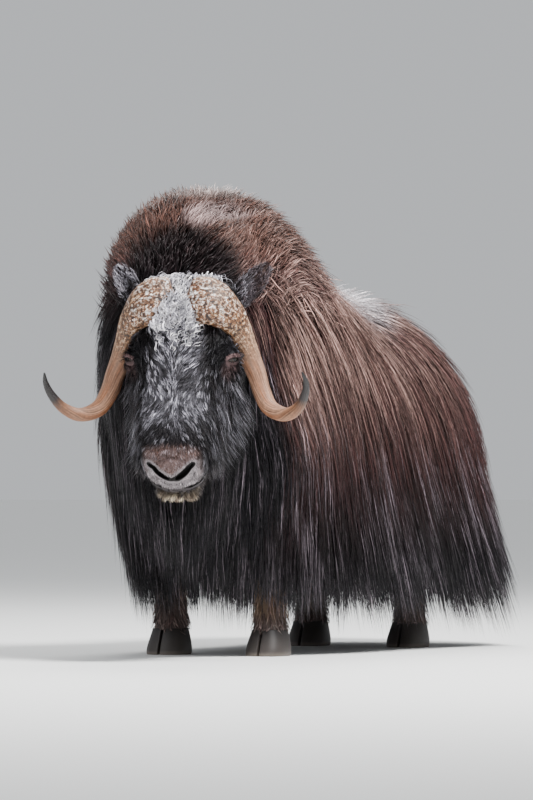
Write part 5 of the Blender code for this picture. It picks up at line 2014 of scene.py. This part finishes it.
class MUSKOX_OT_eyes(bpy.types.Operator):
    """Model both eyes"""
    bl_idname = "muskox.eyes"
    bl_label = "Eyes"

    def execute(self, context):
        material = eye_material()
        for side, word in SIDES:
            eye = ball(f"eyeball_{word}", (0, 0, 0), (EYE_RADIUS - EYE_GAP,) * 3, 48, 32)
            place = positions(eye)
            bulge = smooth(place[:, 2], 0.6 * EYE_RADIUS, EYE_RADIUS)
            iris = np.hypot(place[:, 0] * 1.25, place[:, 1]) / (0.62 * EYE_RADIUS)
            iris = np.where(place[:, 2] > 0, np.clip(iris * 0.7, 0, 1), 1.0)
            add_value(eye.data, "iris", iris)
            place[:, 2] += 0.0006 * bulge
            set_positions(eye, place)
            eye.data.transform(TO_BULL @ slit_frame(side))
            place_piece(eye, material, "eye", f"eye_{word}")
        return {"FINISHED"}


class MUSKOX_OT_hooves(bpy.types.Operator):
    """Model the four hooves"""
    bl_idname = "muskox.hooves"
    bl_label = "Hooves"

    def execute(self, context):
        material = hoof_material()
        for place, side, word in LEGS:
            hoof = hoof_shape(place, side)
            hoof.name = f"hoof_keratin_{word}"
            place_piece(hoof, material, "hoof", f"hoof_{word}")
            hoof.data.set_sharp_from_angle(angle=HOOF_EDGE)
        return {"FINISHED"}


def hoof_shape(place, side):
    """Broad round hoof with its cleft, flat on the floor."""
    rings = []
    for height, half_width, half_depth in spread(HOOF, 22):
        lean = HOOF_LEAN * (1 - height / HOOF_HEIGHT)
        ring = []
        for x, y in oval(48, half_width, half_depth, -half_depth, 0.0, 2.3, 2.6):
            ring.append((side * place[0] + x, place[1] - lean + y, max(height, 0.0)))
        rings.append(ring)
    hoof = loft("hoof", rings)
    bpy.ops.object.select_all(action="DESELECT")
    bpy.ops.mesh.primitive_cube_add(size=1)
    cleft = bpy.context.object
    front = place[1] + CLEFT_END - CLEFT_LENGTH / 2
    cleft.data.transform(Matrix.Translation((side * place[0], front, 0.04))
                         @ Matrix.Diagonal((CLEFT, CLEFT_LENGTH, CLEFT_LENGTH, 1)))
    boolean(hoof, "DIFFERENCE", [cleft])
    modified(hoof, "BEVEL", width=0.0016, segments=2, limit_method="ANGLE", angle_limit=HOOF_EDGE)
    return set_down(hoof)


# Stage

class MUSKOX_OT_stage(bpy.types.Operator):
    """Set the floor, the lights and the camera"""
    bl_idname = "muskox.stage"
    bl_label = "Stage"

    def execute(self, context):
        bpy.ops.object.select_all(action="DESELECT")
        bpy.ops.mesh.primitive_circle_add(vertices=96, radius=70, fill_type="NGON")
        floor = bpy.context.object
        floor.name = "floor"
        material, _, shader = surface("matt_floor", 0.85, Specular_IOR_Level=0.2)
        shader.inputs["Base Color"].default_value = (*linear("#fafaf8"), 1)
        floor.data.materials.append(material)
        world = bpy.data.worlds.new("studio")
        context.scene.world = world
        world.use_nodes = True
        sky = world.node_tree.nodes["Background"]
        sky.inputs["Color"].default_value = (*linear("#e6e9ed"), 1)
        sky.inputs["Strength"].default_value = 0.74
        for name, azimuth, elevation, distance, size, power in LAMPS:
            lamp_at(name, azimuth, elevation, distance, size, power)
        set_camera(context.scene)
        return {"FINISHED"}


# Lamps round the bull: name, azimuth and elevation in degrees, distance, size, power
LAMPS = (
    ("key", 62.0, 56.0, 6.0, 1.6, 840.0),
    ("fill", -20.0, 25.0, 6.5, 3.5, 60.0),
    ("rim", 205.0, 55.0, 6.0, 2.5, 250.0),
)
CAMERA_AZIMUTH = math.radians(27)
CAMERA_HEIGHT = 0.55
CAMERA_SIDE = 0.0635        # how far right of the origin the line of sight runs
CAMERA_DISTANCE = 16.8774
PHOTO_WIDTH = 800           # pixels
PHOTO_FOCUS = 5840          # distance of the photo's eye point, in pixels
PHOTO_RISE = 63             # how far the line of sight is tilted up, in pixels
SENSOR = 36                 # millimetres
CAMERA_TILT = math.atan(PHOTO_RISE / PHOTO_FOCUS)
CAMERA_LENS = PHOTO_FOCUS / PHOTO_WIDTH * SENSOR


def sight(azimuth, elevation):
    """From the bull towards a viewer at an azimuth and elevation."""
    return Vector((math.sin(azimuth) * math.cos(elevation),
                   -math.cos(azimuth) * math.cos(elevation), math.sin(elevation)))


def lamp_at(name, azimuth, elevation, distance, size, power):
    """A square soft lamp aimed at the bull."""
    light = bpy.data.lights.new(name, "AREA")
    light.energy = power
    light.size = size
    lamp = bpy.data.objects.new(name, light)
    back = sight(math.radians(azimuth), math.radians(elevation))
    lamp.location = Vector((0, 0, 0.7)) + back * distance
    lamp.rotation_mode = "QUATERNION"
    lamp.rotation_quaternion = back.to_track_quat("Z", "Y")
    bpy.context.scene.collection.objects.link(lamp)


def set_camera(scene):
    """The camera at the photograph's viewing angle."""
    data = bpy.data.cameras.new("camera")
    camera = bpy.data.objects.new("camera", data)
    scene.collection.objects.link(camera)
    back = sight(CAMERA_AZIMUTH, 0)
    right = Vector((math.cos(CAMERA_AZIMUTH), math.sin(CAMERA_AZIMUTH), 0))
    camera.location = (OFFSET + right * CAMERA_SIDE + back * CAMERA_DISTANCE
                       + Vector((0, 0, CAMERA_HEIGHT)))
    ahead = -back * math.cos(CAMERA_TILT) + Vector((0, 0, math.sin(CAMERA_TILT)))
    camera.rotation_mode = "QUATERNION"
    camera.rotation_quaternion = ahead.to_track_quat("-Z", "Y")
    data.lens = CAMERA_LENS
    data.sensor_width = SENSOR
    data.clip_end = 300
    scene.camera = camera


PIECES = (MUSKOX_OT_skin, MUSKOX_OT_horns, MUSKOX_OT_eyes, MUSKOX_OT_hooves, MUSKOX_OT_coat,
          MUSKOX_OT_mane, MUSKOX_OT_hump, MUSKOX_OT_face, MUSKOX_OT_ears, MUSKOX_OT_legs,
          MUSKOX_OT_tail, MUSKOX_OT_stage)


class MUSKOX_PT_panel(bpy.types.Panel):
    """Lists the bull's pieces, sizes and colours"""
    bl_label = "Muskox bull"
    bl_idname = "MUSKOX_PT_panel"
    bl_space_type = "VIEW_3D"
    bl_region_type = "UI"
    bl_category = "Muskox"

    def draw(self, context):
        for piece in PIECES:
            self.layout.operator(piece.bl_idname)
        for group in (sizes(), colours()):
            box = self.layout.box()
            for key in group.__annotations__:
                box.prop(group, key)


CLASSES = (MuskoxSizes, MuskoxColours, *PIECES, MUSKOX_PT_panel)


def register():
    for one in CLASSES:
        bpy.utils.register_class(one)
    bpy.types.Scene.muskox_sizes = PointerProperty(type=MuskoxSizes)
    bpy.types.Scene.muskox_colours = PointerProperty(type=MuskoxColours)


def unregister():
    del bpy.types.Scene.muskox_colours
    del bpy.types.Scene.muskox_sizes
    for one in reversed(CLASSES):
        bpy.utils.unregister_class(one)


def main():
    register()
    for piece in PIECES:
        group, name = piece.bl_idname.split(".")
        getattr(getattr(bpy.ops, group), name)()


if __name__ == "__main__":
    main()
